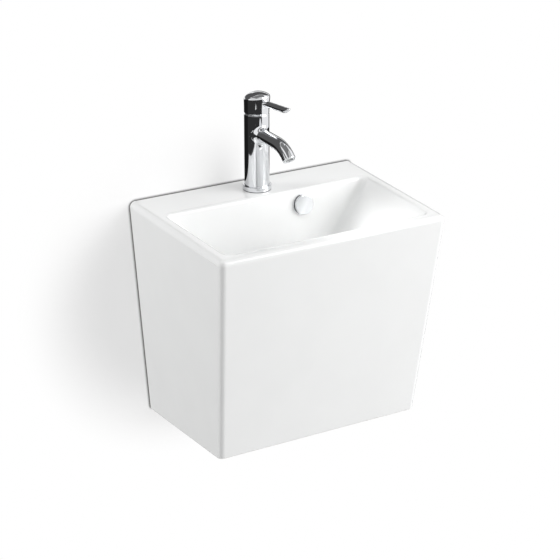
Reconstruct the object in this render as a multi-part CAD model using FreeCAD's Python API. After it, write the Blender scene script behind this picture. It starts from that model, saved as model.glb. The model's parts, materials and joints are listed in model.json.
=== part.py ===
"""Wall hung basin with a full tapering skirt, a single-lever mixer, a push-open waste and a bottle trap.

Millimetres. The wall is the plane y = 0 and the basin stands out of it towards -Y, with +Z up. The origin is
on the wall, half way between the two wall bolts. A "drop" is a depth below the rim of the basin.
"""
import FreeCAD
import Part
import math
import os

Vector = FreeCAD.Vector

# ---------------------------------------------------------------- ceramic body
RIM_ABOVE_BOLTS = 70.0
TOP_WIDTH_WALL = 450.0
TOP_WIDTH_FRONT = 433.0
TOP_DEPTH = 325.0
FOOT_WIDTH_WALL = 393.0
FOOT_WIDTH_FRONT = 391.0
FOOT_DEPTH = 269.0
SKIRT_DROP_WALL = 407.0
SKIRT_DROP_FRONT = 385.0
CORNER_ROUND = 10.0
TOP_EDGE_ROUND = 10.0
FOOT_EDGE_ROUND = 3.0
REAR_EDGE_ROUND = 2.5
SKIRT_WALL = 10.0
SKIRT_INNER_ROUND = 8.0
DECK_THICKNESS = 14.0
REAR_PANEL = 12.0
REAR_PANEL_DROP = 140.0
REAR_RETURN = 28.0
WINDOW_ROUND = 20.0

# bowl: the "runs" are how far each wall comes in between the rim and the floor
DECK_DEPTH = 88.0
RIM_SIDE = 22.0
RIM_FRONT = 24.0
BOWL_DEPTH = 115.0
BOWL_SIDE_RUN = 82.0
BOWL_BACK_RUN = 20.0
BOWL_FRONT_RUN = 24.0
BOWL_RIM_CORNER = 12.0
BOWL_FLOOR_CORNER = 28.0
BOWL_FLOOR_ROUND = 22.0
BOWL_LIP_ROUND = 6.0
BOWL_WALL = 10.0
FLOOR_THICKNESS = 12.0
FLOOR_FALL = 5.0

# overflow
OVERFLOW_SIDE = 68.0
OVERFLOW_DROP = 28.0
OVERFLOW_HOLE_RADIUS = 13.0
OVERFLOW_SLEEVE_WALL = 1.5
OVERFLOW_SLEEVE_LENGTH = 8.0
OVERFLOW_RING_RADIUS = 19.0
OVERFLOW_RING_THICKNESS = 1.6
OVERFLOW_GAP = 2.4
OVERFLOW_CAP_RADIUS = 18.0
OVERFLOW_CAP_THICKNESS = 4.2
OVERFLOW_CAP_WALL = 1.8
OVERFLOW_CAP_ROUND = 1.4
OVERFLOW_LEG_RADIUS = 1.4
OVERFLOW_LEG_COUNT = 3
DUCT_WIDTH = 24.0
DUCT_GAP = 13.0
DUCT_WALL = 7.0

# wall fixing
BOLT_SPACING = 280.0
BOLT_RADIUS = 5.0
BOLT_NUT_THREAD_RADIUS = 4.75
BOLT_IN_WALL = 55.0
BOLT_POINT = 10.0
BOLT_TAIL = 4.0
BOLT_HOLE_RADIUS = 8.0
BOLT_SLEEVE_FLANGE_RADIUS = 12.0
BOLT_SLEEVE_FLANGE = 2.0
BOLT_WASHER_RADIUS = 15.0
BOLT_WASHER_THICKNESS = 2.5
BOLT_NUT_ACROSS_FLATS = 17.0
BOLT_NUT_HEIGHT = 8.0

# waste: heights are measured from the rim of the drain
DRAIN_HOLE_RADIUS = 22.5
WASTE_FLANGE_RADIUS = 31.5
WASTE_FLANGE_THICKNESS = 5.0
WASTE_THREAD_RADIUS = 20.9
WASTE_BORE_RADIUS = 17.5
WASTE_SHELF_DEPTH = 3.0
WASTE_WINDOW_WIDTH = 12.0
WASTE_WINDOW_COUNT = 4
WASTE_TOP_WASHER = 1.5
WASTE_RECESS_GAP = 1.5
DRAIN_CLAMP = 31.5
DRAIN_COLLAR_WALL = 15.0
CHAMBER_DEPTH = 9.0
CHAMBER_HEIGHT = 13.0
CHAMBER_RADIUS = 29.0
WASTE_BOTTOM_WASHER = 4.0
WASTE_BOTTOM_WASHER_RADIUS = 32.0
WASTE_NUT_ACROSS_FLATS = 58.0
WASTE_NUT_HEIGHT = 10.0
WASTE_THREAD_TAIL = 16.0
BRIDGE_THICKNESS = 6.0
BRIDGE_WIDTH = 5.0
BRIDGE_BOSS_RADIUS = 8.0

# push-open plug
PLUG_RADIUS = 28.6
PLUG_THICKNESS = 3.4
PLUG_CROWN = 1.3
PLUG_BOSS_RADIUS = 6.5
PLUG_BOSS_LENGTH = 4.8
PLUG_SEAL_THICKNESS = 1.8
PLUG_SEAL_OUTER = 27.0
PLUG_SEAL_INNER = 19.5
PLUG_TRAVEL = 8.0
BARREL_RADIUS = 7.5
BARREL_BORE_RADIUS = 5.6
BARREL_LIP = 2.0
BARREL_FLOOR = 2.0
BARREL_ROOM = 3.0
SPINDLE_RADIUS = 3.6
SPINDLE_COLLAR = 3.0
SPRING_WIRE = 0.9
SPRING_TURNS = 5
SPRING_CLOSED = 8.0

# bottle trap
PIPE_RADIUS = 16.0
PIPE_WALL = 1.5
TRAP_SEAL = 2.5
TRAP_FLANGE = 2.0
TRAP_NUT_RADIUS = 26.0
TRAP_NUT_LIP = 3.5
TRAP_NUT_GRIP = 14.0
TRAP_NUT_RIBS = 10
TRAP_RIB_RADIUS = 2.0
TRAP_NECK_GAP = 30.0
TRAP_NECK_LENGTH = 16.0
TRAP_BODY_RADIUS = 27.0
TRAP_BODY_WALL = 3.0
TRAP_BODY_LENGTH = 58.0
TRAP_OUTLET_BELOW_SHOULDER = 22.0
TRAP_OUTLET_REACH = 52.0
TRAP_CUP_WALL = 4.0
TRAP_CUP_LENGTH = 60.0
TRAP_CUP_OVERLAP = 14.0
TRAP_CUP_FLOOR = 3.0
TRAP_DIP_CLEARANCE = 15.0
TRAP_PIPE_INSERT = 22.0
PIPE_BEAD = 1.0
PIPE_BEAD_LENGTH = 2.0
PIPE_PAST_WALL = 40.0
ROSETTE_RADIUS = 35.0
ROSETTE_DEPTH = 8.0
ROSETTE_SHEET = 1.2

# mixer tap: heights are measured from the deck
TAP_FROM_WALL = 50.0
TAP_HOLE_RADIUS = 17.5
COLUMN_RADIUS = 22.0
COLUMN_WALL = 3.5
BASE_SEAL_THICKNESS = 1.0
BASE_RING_RADIUS = 25.2
BASE_RING_HEIGHT = 8.0
BASE_RING_ROUND = 1.2
INLET_HEIGHT = 60.0
INLET_RADIUS = 4.5
INLET_THREAD_LENGTH = 12.0
INLET_UNION_RADIUS = 6.4
INLET_UNION_WEB = 2.0
INLET_SPIGOT_RADIUS = 4.4
INLET_SPIGOT_LENGTH = 10.0
INLET_SIDE = 7.5
INLET_FORWARD = 5.5
STUD_RADIUS = 4.0
STUD_REAR = 10.0
STUD_IN_BODY = 15.0
STUD_BELOW_DECK = 60.0
STUD_NUT_ACROSS_FLATS = 13.0
STUD_NUT_HEIGHT = 8.0
HORSESHOE_RADIUS = 27.0
HORSESHOE_RUBBER = 3.0
HORSESHOE_PLATE = 3.0
HORSESHOE_SLOT = 29.0
HORSESHOE_SLOT_END = 2.5

# spout
SPOUT_HEIGHT = 104.5
SPOUT_STRAIGHT = 72.0
SPOUT_BEND_RADIUS = 60.0
SPOUT_BEND_ANGLE = 45.0
SPOUT_RADIUS = 11.5
SPOUT_BORE_RADIUS = 8.3
SPOUT_ROOT_ROUND = 7.0
SPOUT_LIP_ROUND = 1.2
MIX_SLOT_HALF_WIDTH = 2.5
MIX_SLOT_FOOT = 90.0
MIX_SLOT_TOP = 103.0
AERATOR_RADIUS = 9.8
AERATOR_DEPTH = 9.0
AERATOR_WASHER = 1.2
AERATOR_SHELL = 1.4
AERATOR_INSERT_DEPTH = 5.0
AERATOR_HOLE = 1.5
AERATOR_PITCH = 2.6

# cartridge
SEAM_HEIGHT = 141.0
PIVOT_BELOW_SEAM = 13.0
HUB_LIP = 1.2
BALL_GAP = 0.33
COLUMN_TOP_ABOVE_PIVOT = 14.0
CARTRIDGE_RADIUS = 17.5
CARTRIDGE_BELOW_PIVOT = 20.0
CARTRIDGE_SEAL = 1.5
CARTRIDGE_BASE = 2.0
CARTRIDGE_WALL = 1.9
CARTRIDGE_HEIGHT = 26.5
CARTRIDGE_LIP = 2.0
CARTRIDGE_LIP_GAP = 0.5
PORT_RADIUS = 2.2
PORT_SIDE = 6.0
PORT_FORWARD = 6.6
MIX_PORT_RADIUS = 3.0
MIX_PORT_REAR = 2.5
FIXED_DISC_RADIUS = 14.5
FIXED_DISC_THICKNESS = 2.5
MOVING_DISC_RADIUS = 10.0
MOVING_DISC_THICKNESS = 5.0
DISC_FILM = 0.05
DISC_CAVITY_DEPTH = 1.2
DISC_CAVITY_HALF_WIDTH = 7.2
DISC_CAVITY_FRONT = 3.2
DISC_CAVITY_REAR = 5.2
DISC_POCKET_DEPTH = 2.8
ROTOR_NECK_RADIUS = 11.8
ROTOR_NECK_HEIGHT = 6.2
ROTOR_RUNNING_GAP = 0.2
CARTRIDGE_NUT_HEIGHT = 7.5
CARTRIDGE_NUT_NOTCH = 4.0
CARTRIDGE_NUT_NOTCHES = 4
CARTRIDGE_NUT_NOTCH_DEPTH = 2.0

# stem and handle
LEVER_LIFT = 22.0
HANDLE_TURN = 12.0
STEM_BALL_RADIUS = 2.4
STEM_NECK_RADIUS = 1.6
STEM_SIDE = 6.0
STEM_SHOULDER_BELOW_PIVOT = 6.0
STEM_ABOVE_SEAM = 22.5
STEM_SLOT_ROOM = 0.35
PIVOT_PIN_RADIUS = 1.5
PIVOT_PIN_LENGTH = 26.0
HEAD_STRAIGHT = 9.0
HEAD_TAPER = 35.0
HEAD_TOP_RADIUS = 23.8
HEAD_TOP_FORWARD = 1.8
HEAD_HEIGHT = 37.4
DOME_RADIUS = 36.0
DOME_FORWARD = 4.5
HEAD_EDGE_ROUND = 3.0
LEVER_ABOVE_SEAM = 20.3
LEVER_RADIUS = 5.3
LEVER_REACH = 85.0
LEVER_SEAT = 18.5
LEVER_TANG_RADIUS = 4.0
LEVER_TANG_LENGTH = 9.0
LEVER_NOSE = 14.0
LEVER_NOSE_ROUND = 2.6
GRUB_RADIUS = 2.0
GRUB_LENGTH = 8.0
GRUB_ABOVE_SEAM = 17.5
PLUG_COVER_RADIUS = 3.2
PLUG_COVER_DEPTH = 2.2

# clearances
PIN_PRESS_GAP = 0.02
THREAD_GAP = 0.05
RUNNING_GAP = 0.05
SLIP_GAP = 0.2
LOOSE_GAP = 0.3
CUT_MARGIN = 5.0

# ---------------------------------------------------------------- worked out from the sizes above
RIM = RIM_ABOVE_BOLTS
BOWL_BACK_TILT = math.degrees(math.atan(BOWL_BACK_RUN / BOWL_DEPTH))
DRAIN_RIM_DROP = BOWL_DEPTH + FLOOR_FALL
BOWL_REAR_FLOOR = DECK_DEPTH + BOWL_BACK_RUN
BOWL_FRONT_FLOOR = TOP_DEPTH - RIM_FRONT - BOWL_FRONT_RUN
DRAIN_FROM_WALL = (BOWL_REAR_FLOOR + BOWL_FRONT_FLOOR) / 2

DRAIN_SPOT = Vector(0, -DRAIN_FROM_WALL, RIM - DRAIN_RIM_DROP)
TAP_SPOT = Vector(0, -TAP_FROM_WALL, RIM)
OVERFLOW_SPOT = Vector(
    OVERFLOW_SIDE, -DECK_DEPTH - BOWL_BACK_RUN * OVERFLOW_DROP / BOWL_DEPTH, RIM - OVERFLOW_DROP
)

DRAIN_SEAT = -WASTE_FLANGE_THICKNESS - WASTE_TOP_WASHER
CHAMBER_TOP = DRAIN_SEAT - CHAMBER_DEPTH
CHAMBER_FOOT = CHAMBER_TOP - CHAMBER_HEIGHT
COLLAR_FOOT = DRAIN_SEAT - DRAIN_CLAMP
WASTE_NUT_TOP = COLLAR_FOOT - WASTE_BOTTOM_WASHER
WASTE_NUT_FOOT = WASTE_NUT_TOP - WASTE_NUT_HEIGHT
WASTE_END = WASTE_NUT_FOOT - WASTE_THREAD_TAIL

PLUG_FOOT = PLUG_SEAL_THICKNESS - WASTE_SHELF_DEPTH
PLUG_BOSS_FOOT = PLUG_FOOT - PLUG_BOSS_LENGTH
BARREL_TOP = PLUG_BOSS_FOOT - PLUG_TRAVEL
COLLAR_TOP = BARREL_TOP - BARREL_LIP - BARREL_ROOM - PLUG_TRAVEL
SPRING_TOP = COLLAR_TOP - SPINDLE_COLLAR
SPRING_FOOT = SPRING_TOP - SPRING_CLOSED
BRIDGE_TOP = SPRING_FOOT - BARREL_FLOOR

RISER_TOP = WASTE_END - TRAP_SEAL
TRAP_NECK_TOP = RISER_TOP - TRAP_FLANGE - TRAP_NUT_LIP - TRAP_NECK_GAP
TRAP_SHOULDER = TRAP_NECK_TOP - TRAP_NECK_LENGTH
TRAP_OUTLET_HEIGHT = TRAP_SHOULDER - TRAP_OUTLET_BELOW_SHOULDER
TRAP_BODY_FOOT = TRAP_SHOULDER - TRAP_BODY_LENGTH
CUP_SEAT = TRAP_BODY_FOOT - TRAP_SEAL
CUP_TOP = TRAP_BODY_FOOT + TRAP_CUP_OVERLAP
CUP_FOOT = TRAP_BODY_FOOT - TRAP_CUP_LENGTH
RISER_FOOT = CUP_FOOT + TRAP_CUP_FLOOR + TRAP_DIP_CLEARANCE

PIVOT_HEIGHT = SEAM_HEIGHT - PIVOT_BELOW_SEAM
HUB_CAVITY_RADIUS = math.hypot(COLUMN_RADIUS - HUB_LIP, PIVOT_BELOW_SEAM)
BALL_RADIUS = HUB_CAVITY_RADIUS - BALL_GAP
COLUMN_TOP = PIVOT_HEIGHT + COLUMN_TOP_ABOVE_PIVOT
CARTRIDGE_FLOOR = PIVOT_HEIGHT - CARTRIDGE_BELOW_PIVOT
HOUSING_FOOT = CARTRIDGE_FLOOR + CARTRIDGE_SEAL
HOUSING_TOP = HOUSING_FOOT + CARTRIDGE_HEIGHT
FIXED_DISC_FOOT = HOUSING_FOOT + CARTRIDGE_BASE
MOVING_DISC_FOOT = FIXED_DISC_FOOT + FIXED_DISC_THICKNESS + DISC_FILM
MOVING_DISC_TOP = MOVING_DISC_FOOT + MOVING_DISC_THICKNESS
HOUSING_BORE_RADIUS = CARTRIDGE_RADIUS - CARTRIDGE_WALL
ROTOR_RADIUS = HOUSING_BORE_RADIUS - LOOSE_GAP
ROTOR_FOOT = FIXED_DISC_FOOT + FIXED_DISC_THICKNESS + ROTOR_RUNNING_GAP
ROTOR_SHOULDER = HOUSING_TOP - CARTRIDGE_LIP - ROTOR_RUNNING_GAP
ROTOR_TOP = ROTOR_SHOULDER + ROTOR_NECK_HEIGHT
STEM_BALL_HEIGHT = MOVING_DISC_TOP - DISC_POCKET_DEPTH + SLIP_GAP + STEM_BALL_RADIUS
STEM_TOP = SEAM_HEIGHT + STEM_ABOVE_SEAM
LEVER_HEIGHT = SEAM_HEIGHT + LEVER_ABOVE_SEAM
GRUB_HEIGHT = SEAM_HEIGHT + GRUB_ABOVE_SEAM
HEAD_TOP = SEAM_HEIGHT + HEAD_HEIGHT

OUTDIR = "parts"


# ---------------------------------------------------------------- general shapes
def between(first, last, share):
    """The value that lies the given share of the way from the first to the last."""
    return first + (last - first) * share


def post(radius, low, high, x=0.0, y=0.0):
    """Upright cylinder between two heights."""
    return Part.makeCylinder(radius, high - low, Vector(x, y, low))


def ring(outer, inner, low, high):
    """Upright ring about the z axis between two heights."""
    return post(outer, low, high).cut(post(inner, low - CUT_MARGIN, high + CUT_MARGIN))


def rod(radius, near, far, x=0.0, z=0.0):
    """Cylinder along y between two places."""
    return Part.makeCylinder(radius, far - near, Vector(x, near, z), Vector(0, 1, 0))


def hollow_rod(outer, inner, near, far, x=0.0, z=0.0):
    """Tube along y between two places."""
    return rod(outer, near, far, x, z).cut(rod(inner, near - CUT_MARGIN, far + CUT_MARGIN, x, z))


def block(low_corner, high_corner):
    """Box between two corners."""
    low = Vector(*low_corner)
    size = Vector(*high_corner) - low
    return Part.makeBox(size.x, size.y, size.z, low)


def hexagon(across_flats, bore, low, high):
    """Upright hexagon nut with a round bore."""
    corner = across_flats / math.sqrt(3)
    points = []
    for step in range(7):
        angle = math.radians(60 * step)
        points.append(Vector(corner * math.cos(angle), corner * math.sin(angle), low))
    prism = Part.Face(Part.makePolygon(points)).extrude(Vector(0, 0, high - low))
    return prism.cut(post(bore, low - CUT_MARGIN, high + CUT_MARGIN))


def turned(profile):
    """Solid of revolution about z of a closed outline of (radius, height) points."""
    points = [Vector(radius, 0, height) for radius, height in profile]
    face = Part.Face(Part.makePolygon(points + points[:1]))
    return face.revolve(Vector(0, 0, 0), Vector(0, 0, 1), 360)


def join(shapes):
    """All the shapes as one solid with no leftover edges."""
    return shapes[0].fuse(shapes[1:]).removeSplitter()


def rounded_wire(corners, rounds):
    """Closed flat wire through the corners in order, each corner an arc of its own radius."""
    starts = []
    arcs = []
    ends = []
    for index, corner in enumerate(corners):
        to_last = (corners[index - 1] - corner).normalize()
        to_next = (corners[(index + 1) % len(corners)] - corner).normalize()
        radius = rounds[index]
        half_angle = to_last.getAngle(to_next) / 2
        setback = radius / math.tan(half_angle)
        inward = (to_last + to_next).normalize()
        middle = corner + inward * (radius / math.sin(half_angle) - radius)
        starts.append(corner + to_last * setback)
        ends.append(corner + to_next * setback)
        arcs.append(Part.Arc(starts[-1], middle, ends[-1]).toShape() if radius else None)
    edges = []
    for index, arc in enumerate(arcs):
        if arc:
            edges.append(arc)
        edges.append(Part.makeLine(ends[index], starts[(index + 1) % len(starts)]))
    return Part.Wire(edges)


def edges_where(shape, test):
    """The shape's edges whose points all pass the test."""
    chosen = []
    for edge in shape.Edges:
        if all(test(point) for point in edge.discretize(5)):
            chosen.append(edge)
    return chosen


def helix_tube(radius, wire_radius, low, high, turns):
    """Round wire wound about z as one unbroken helix between two heights."""
    first = low + wire_radius
    rise = high - low - 2 * wire_radius
    path = Part.makeHelix(rise / turns, rise, radius)
    path.translate(Vector(0, 0, first))
    start = Vector(radius, 0, first)
    section = Part.Wire(Part.makeCircle(wire_radius, start, Vector(0, 1, 0)))
    return Part.Wire(path.Edges).makePipeShell([section], True, True)


# ---------------------------------------------------------------- places on the ceramic body
def half_width(drop, from_wall):
    """Half the outer width at a depth below the rim and a distance from the wall."""
    down = drop / SKIRT_DROP_WALL
    at_wall = between(TOP_WIDTH_WALL, FOOT_WIDTH_WALL, down) / 2
    at_front = between(TOP_WIDTH_FRONT, FOOT_WIDTH_FRONT, down) / 2
    return between(at_wall, at_front, from_wall / skirt_depth(drop))


def skirt_depth(drop):
    """How far the front of the skirt stands out of the wall at a depth below the rim."""
    return between(TOP_DEPTH, FOOT_DEPTH, drop / SKIRT_DROP_WALL)


def four_corners(rear_half, rear, front_half, front, drop):
    """Corners of a level section: rear left, rear right, front right, front left."""
    height = RIM - drop
    return [
        Vector(-rear_half, -rear, height),
        Vector(rear_half, -rear, height),
        Vector(front_half, -front, height),
        Vector(-front_half, -front, height),
    ]


def skirt_section(drop, side_inset, rear_inset, corner_round):
    """Level section of the skirt, brought in from the sides and the wall."""
    front = skirt_depth(drop) - side_inset
    corners = four_corners(
        half_width(drop, rear_inset) - side_inset,
        rear_inset,
        half_width(drop, front) - side_inset,
        front,
        drop,
    )
    return rounded_wire(corners, [0, 0, corner_round, corner_round])


def bowl_section(share, grow, drop):
    """Level section of the bowl, the given share of the way from its rim to its floor."""
    rear = DECK_DEPTH
    front = TOP_DEPTH - RIM_FRONT
    run = BOWL_SIDE_RUN * share
    rear_half = half_width(0, rear) - RIM_SIDE - run + grow
    front_half = half_width(0, front) - RIM_SIDE - run + grow
    corner = between(BOWL_RIM_CORNER, BOWL_FLOOR_CORNER, share) + grow
    corners = four_corners(
        rear_half,
        rear + BOWL_BACK_RUN * share - grow,
        front_half,
        front - BOWL_FRONT_RUN * share + grow,
        drop,
    )
    return rounded_wire(corners, [corner] * 4)


def bowl_form(grow, thickness):
    """The bowl's hollow, grown sideways and taken down past its floor by a thickness."""
    floor_drop = BOWL_DEPTH + thickness
    sections = [bowl_section(0, grow, 0), bowl_section(floor_drop / BOWL_DEPTH, grow, floor_drop)]
    form = Part.makeLoft(sections, True, True)
    foot = RIM - floor_drop
    bottom = edges_where(form, lambda point: abs(point.z - foot) < PIN_PRESS_GAP)
    return form.makeFillet(BOWL_FLOOR_ROUND + grow, bottom)


def at_overflow(shape):
    """Carries a shape made about a hole along -Y at the origin to the overflow in the bowl's back wall."""
    shape.Placement = FreeCAD.Placement(
        OVERFLOW_SPOT, FreeCAD.Rotation(Vector(1, 0, 0), -BOWL_BACK_TILT)
    ).multiply(shape.Placement)
    return shape


def at_drain(shape):
    """Carries a shape made about the drain's rim to its place."""
    return shape.translated(DRAIN_SPOT)


def at_tap(shape):
    """Carries a shape made about the tap's foot to its place."""
    return shape.translated(TAP_SPOT)


def at_handle(shape):
    """Carries a shape made with the lever straight forward to the tap, turned as it rests."""
    return at_tap(shape.rotated(Vector(0, 0, 0), Vector(0, 0, 1), HANDLE_TURN))


def save(name, shape):
    """Writes one sub-part."""
    shape.exportStep(f"{OUTDIR}/{name}.step")
    print(f"{name}: {len(shape.Solids)} solid(s), valid {shape.isValid()}, {shape.Volume / 1000:.2f} cm3")


# ---------------------------------------------------------------- ceramic body
def in_the_wall():
    """Everything behind the plane of the wall."""
    side = TOP_WIDTH_WALL
    foot = RIM - SKIRT_DROP_WALL - SKIRT_WALL
    return block((-side, 0, foot), (side, 2 * CUT_MARGIN, RIM + CUT_MARGIN))


def foot_wedge():
    """Everything below the foot, which rises from the wall to the front."""
    slope = (SKIRT_DROP_WALL - SKIRT_DROP_FRONT) / FOOT_DEPTH
    wall_height = RIM - SKIRT_DROP_WALL
    far = TOP_DEPTH + CUT_MARGIN
    side = TOP_WIDTH_WALL
    points = [
        Vector(-side, CUT_MARGIN, wall_height - slope * CUT_MARGIN),
        Vector(-side, -far, wall_height + slope * far),
        Vector(-side, -far, wall_height - SKIRT_WALL),
        Vector(-side, CUT_MARGIN, wall_height - SKIRT_WALL),
    ]
    return Part.Face(Part.makePolygon(points + points[:1])).extrude(Vector(2 * side, 0, 0))


def outer_block():
    """The whole outside of the ceramic, solid, with its edges rounded."""
    sections = [skirt_section(drop, 0, -CUT_MARGIN, CORNER_ROUND) for drop in (0, SKIRT_DROP_WALL)]
    outside = Part.makeLoft(sections, True, True).cut(in_the_wall()).cut(foot_wedge())
    top = edges_where(outside, lambda point: abs(point.z - RIM) < PIN_PRESS_GAP)
    top = [edge for edge in top if edge.BoundBox.YMin < -PIN_PRESS_GAP]
    outside = outside.makeFillet(TOP_EDGE_ROUND, top)
    slope = (SKIRT_DROP_WALL - SKIRT_DROP_FRONT) / FOOT_DEPTH
    wall_height = RIM - SKIRT_DROP_WALL
    foot = edges_where(outside, lambda point: abs(point.z - wall_height + slope * point.y) < PIN_PRESS_GAP)
    foot = [edge for edge in foot if edge.BoundBox.YMin < -PIN_PRESS_GAP]
    outside = outside.makeFillet(FOOT_EDGE_ROUND, foot)
    rear = edges_where(outside, lambda point: abs(point.y) < PIN_PRESS_GAP)
    return outside.makeFillet(REAR_EDGE_ROUND, rear)


def duct_boxes(wall):
    """The overflow's way behind and under the bowl, grown by a wall: one box down, one to the drain."""
    half = DUCT_WIDTH / 2 + wall
    near = BOWL_WALL * math.cos(math.radians(BOWL_BACK_TILT))
    drain_height = DRAIN_SPOT.z + (CHAMBER_TOP + CHAMBER_FOOT) / 2
    down = (OVERFLOW_SPOT.z - drain_height) / math.cos(math.radians(BOWL_BACK_TILT))
    fall = at_overflow(
        block(
            (-half, near - wall, -down - CHAMBER_HEIGHT / 2 - wall),
            (half, near + DUCT_GAP + wall, OVERFLOW_HOLE_RADIUS + wall),
        )
    )
    shift = down * math.sin(math.radians(BOWL_BACK_TILT))
    start = Vector(OVERFLOW_SIDE, OVERFLOW_SPOT.y - shift + near + DUCT_GAP / 2, drain_height)
    finish = Vector(DRAIN_SPOT.x, DRAIN_SPOT.y, drain_height)
    length = (finish - start).Length
    height = CHAMBER_HEIGHT / 2 + wall
    level = block((-half, -DUCT_WIDTH / 4 - wall, -height), (half, length, height))
    bearing = math.degrees(math.atan2(finish.y - start.y, finish.x - start.x)) - 90
    level.rotate(Vector(0, 0, 0), Vector(0, 0, 1), bearing)
    level.translate(start)
    return fall, level


def service_window():
    """The opening in the rear panel, from under the fixing band down to the open foot."""
    top_half = half_width(REAR_PANEL_DROP, 0) - REAR_RETURN
    below = SKIRT_DROP_WALL + SKIRT_WALL
    foot_half = half_width(below, 0) - REAR_RETURN
    corners = [
        Vector(-top_half, CUT_MARGIN, RIM - REAR_PANEL_DROP),
        Vector(top_half, CUT_MARGIN, RIM - REAR_PANEL_DROP),
        Vector(foot_half, CUT_MARGIN, RIM - below),
        Vector(-foot_half, CUT_MARGIN, RIM - below),
    ]
    outline = rounded_wire(corners, [WINDOW_ROUND, WINDOW_ROUND, 0, 0])
    return Part.Face(outline).extrude(Vector(0, -REAR_PANEL - 2 * CUT_MARGIN, 0))


def skirt_hollow():
    """The open space inside the skirt, less the bowl, the duct and the drain collar that stand in it."""
    drops = (DECK_THICKNESS, SKIRT_DROP_WALL + SKIRT_WALL)
    sections = [skirt_section(drop, SKIRT_WALL, REAR_PANEL, SKIRT_INNER_ROUND) for drop in drops]
    space = Part.makeLoft(sections, True, True)
    collar = at_drain(post(DRAIN_HOLE_RADIUS + DRAIN_COLLAR_WALL, COLLAR_FOOT, 0))
    fall, level = duct_boxes(DUCT_WALL)
    return space.cut([bowl_form(BOWL_WALL, FLOOR_THICKNESS), collar, fall, level])


def floor_fall():
    """The shallow hollow in the bowl's floor that leads the water to the drain."""
    inset = BOWL_FLOOR_ROUND
    recess = WASTE_FLANGE_RADIUS + WASTE_RECESS_GAP
    half = half_width(0, DECK_DEPTH) - RIM_SIDE - BOWL_SIDE_RUN - inset
    outline = four_corners(
        half, BOWL_REAR_FLOOR + inset, half, BOWL_FRONT_FLOOR - inset, BOWL_DEPTH
    )
    rim = four_corners(
        recess, DRAIN_FROM_WALL - recess, recess, DRAIN_FROM_WALL + recess, DRAIN_RIM_DROP
    )
    sections = [
        rounded_wire(outline, [BOWL_FLOOR_CORNER] * 4),
        rounded_wire(rim, [recess - SLIP_GAP] * 4),
    ]
    return Part.makeLoft(sections, True, True)


def drain_holes():
    """The flange's recess, the hole through the collar and the overflow chamber round it."""
    recess = post(WASTE_FLANGE_RADIUS + WASTE_RECESS_GAP, DRAIN_SEAT, CUT_MARGIN)
    hole = post(DRAIN_HOLE_RADIUS, COLLAR_FOOT - CUT_MARGIN, 0)
    chamber = post(CHAMBER_RADIUS, CHAMBER_FOOT, CHAMBER_TOP)
    return at_drain(join([recess, hole, chamber]))


def basin_body():
    """The one-piece ceramic."""
    body = outer_block().cut(bowl_form(0, 0))
    lip = edges_where(
        body,
        lambda point: abs(point.z - RIM) < PIN_PRESS_GAP
        and -TOP_DEPTH + RIM_FRONT - SLIP_GAP < point.y < -DECK_DEPTH + SLIP_GAP
        and abs(point.x) < half_width(0, -point.y) - RIM_SIDE + SLIP_GAP,
    )
    body = body.makeFillet(BOWL_LIP_ROUND, lip)
    fall, level = duct_boxes(0)
    holes = [floor_fall(), drain_holes(), fall, level, service_window()]
    near = -BOWL_WALL - DUCT_GAP / 2
    holes.append(at_overflow(rod(OVERFLOW_HOLE_RADIUS, near + BOWL_WALL, -near)))
    tap_hole = post(TAP_HOLE_RADIUS, -DECK_THICKNESS - CUT_MARGIN, CUT_MARGIN)
    holes.append(at_tap(tap_hole))
    for side in (-1, 1):
        bolt_x = side * BOLT_SPACING / 2
        holes.append(rod(BOLT_HOLE_RADIUS, -REAR_PANEL - CUT_MARGIN, CUT_MARGIN, bolt_x))
    return body.cut(skirt_hollow()).cut(holes)


def overflow_parts():
    """Sleeve, flange ring and stand-off cap of the overflow."""
    sleeve_radius = OVERFLOW_HOLE_RADIUS - SLIP_GAP
    bore = sleeve_radius - OVERFLOW_SLEEVE_WALL
    sleeve = hollow_rod(sleeve_radius, bore, 0, OVERFLOW_SLEEVE_LENGTH)
    trim = hollow_rod(OVERFLOW_RING_RADIUS, bore, -OVERFLOW_RING_THICKNESS, 0)
    front = edges_where(
        trim,
        lambda point: abs(point.y + OVERFLOW_RING_THICKNESS) < PIN_PRESS_GAP
        and math.hypot(point.x, point.z) > bore + SLIP_GAP,
    )
    trim = trim.makeFillet(OVERFLOW_RING_THICKNESS / 2, front)
    cap_back = -OVERFLOW_RING_THICKNESS - OVERFLOW_GAP
    cap_front = cap_back - OVERFLOW_CAP_THICKNESS
    cap = rod(OVERFLOW_CAP_RADIUS, cap_front, cap_back)
    face = edges_where(cap, lambda point: abs(point.y - cap_front) < PIN_PRESS_GAP)
    cap = cap.makeFillet(OVERFLOW_CAP_ROUND, face)
    inside = OVERFLOW_CAP_RADIUS - OVERFLOW_CAP_WALL
    cap = cap.cut(rod(inside, cap_front + OVERFLOW_CAP_WALL, cap_back + CUT_MARGIN))
    leg_circle = bore - OVERFLOW_LEG_RADIUS - SLIP_GAP
    pieces = [cap]
    for step in range(OVERFLOW_LEG_COUNT):
        angle = 2 * math.pi * step / OVERFLOW_LEG_COUNT + math.pi / 2
        leg_x = leg_circle * math.cos(angle)
        leg_z = leg_circle * math.sin(angle)
        leg_start = cap_front + OVERFLOW_CAP_WALL / 2
        pieces.append(rod(OVERFLOW_LEG_RADIUS, leg_start, OVERFLOW_SLEEVE_LENGTH / 2, leg_x, leg_z))
    save("overflow_sleeve", at_overflow(sleeve))
    save("overflow_ring", at_overflow(trim))
    save("overflow_cap", at_overflow(join(pieces)))


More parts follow.
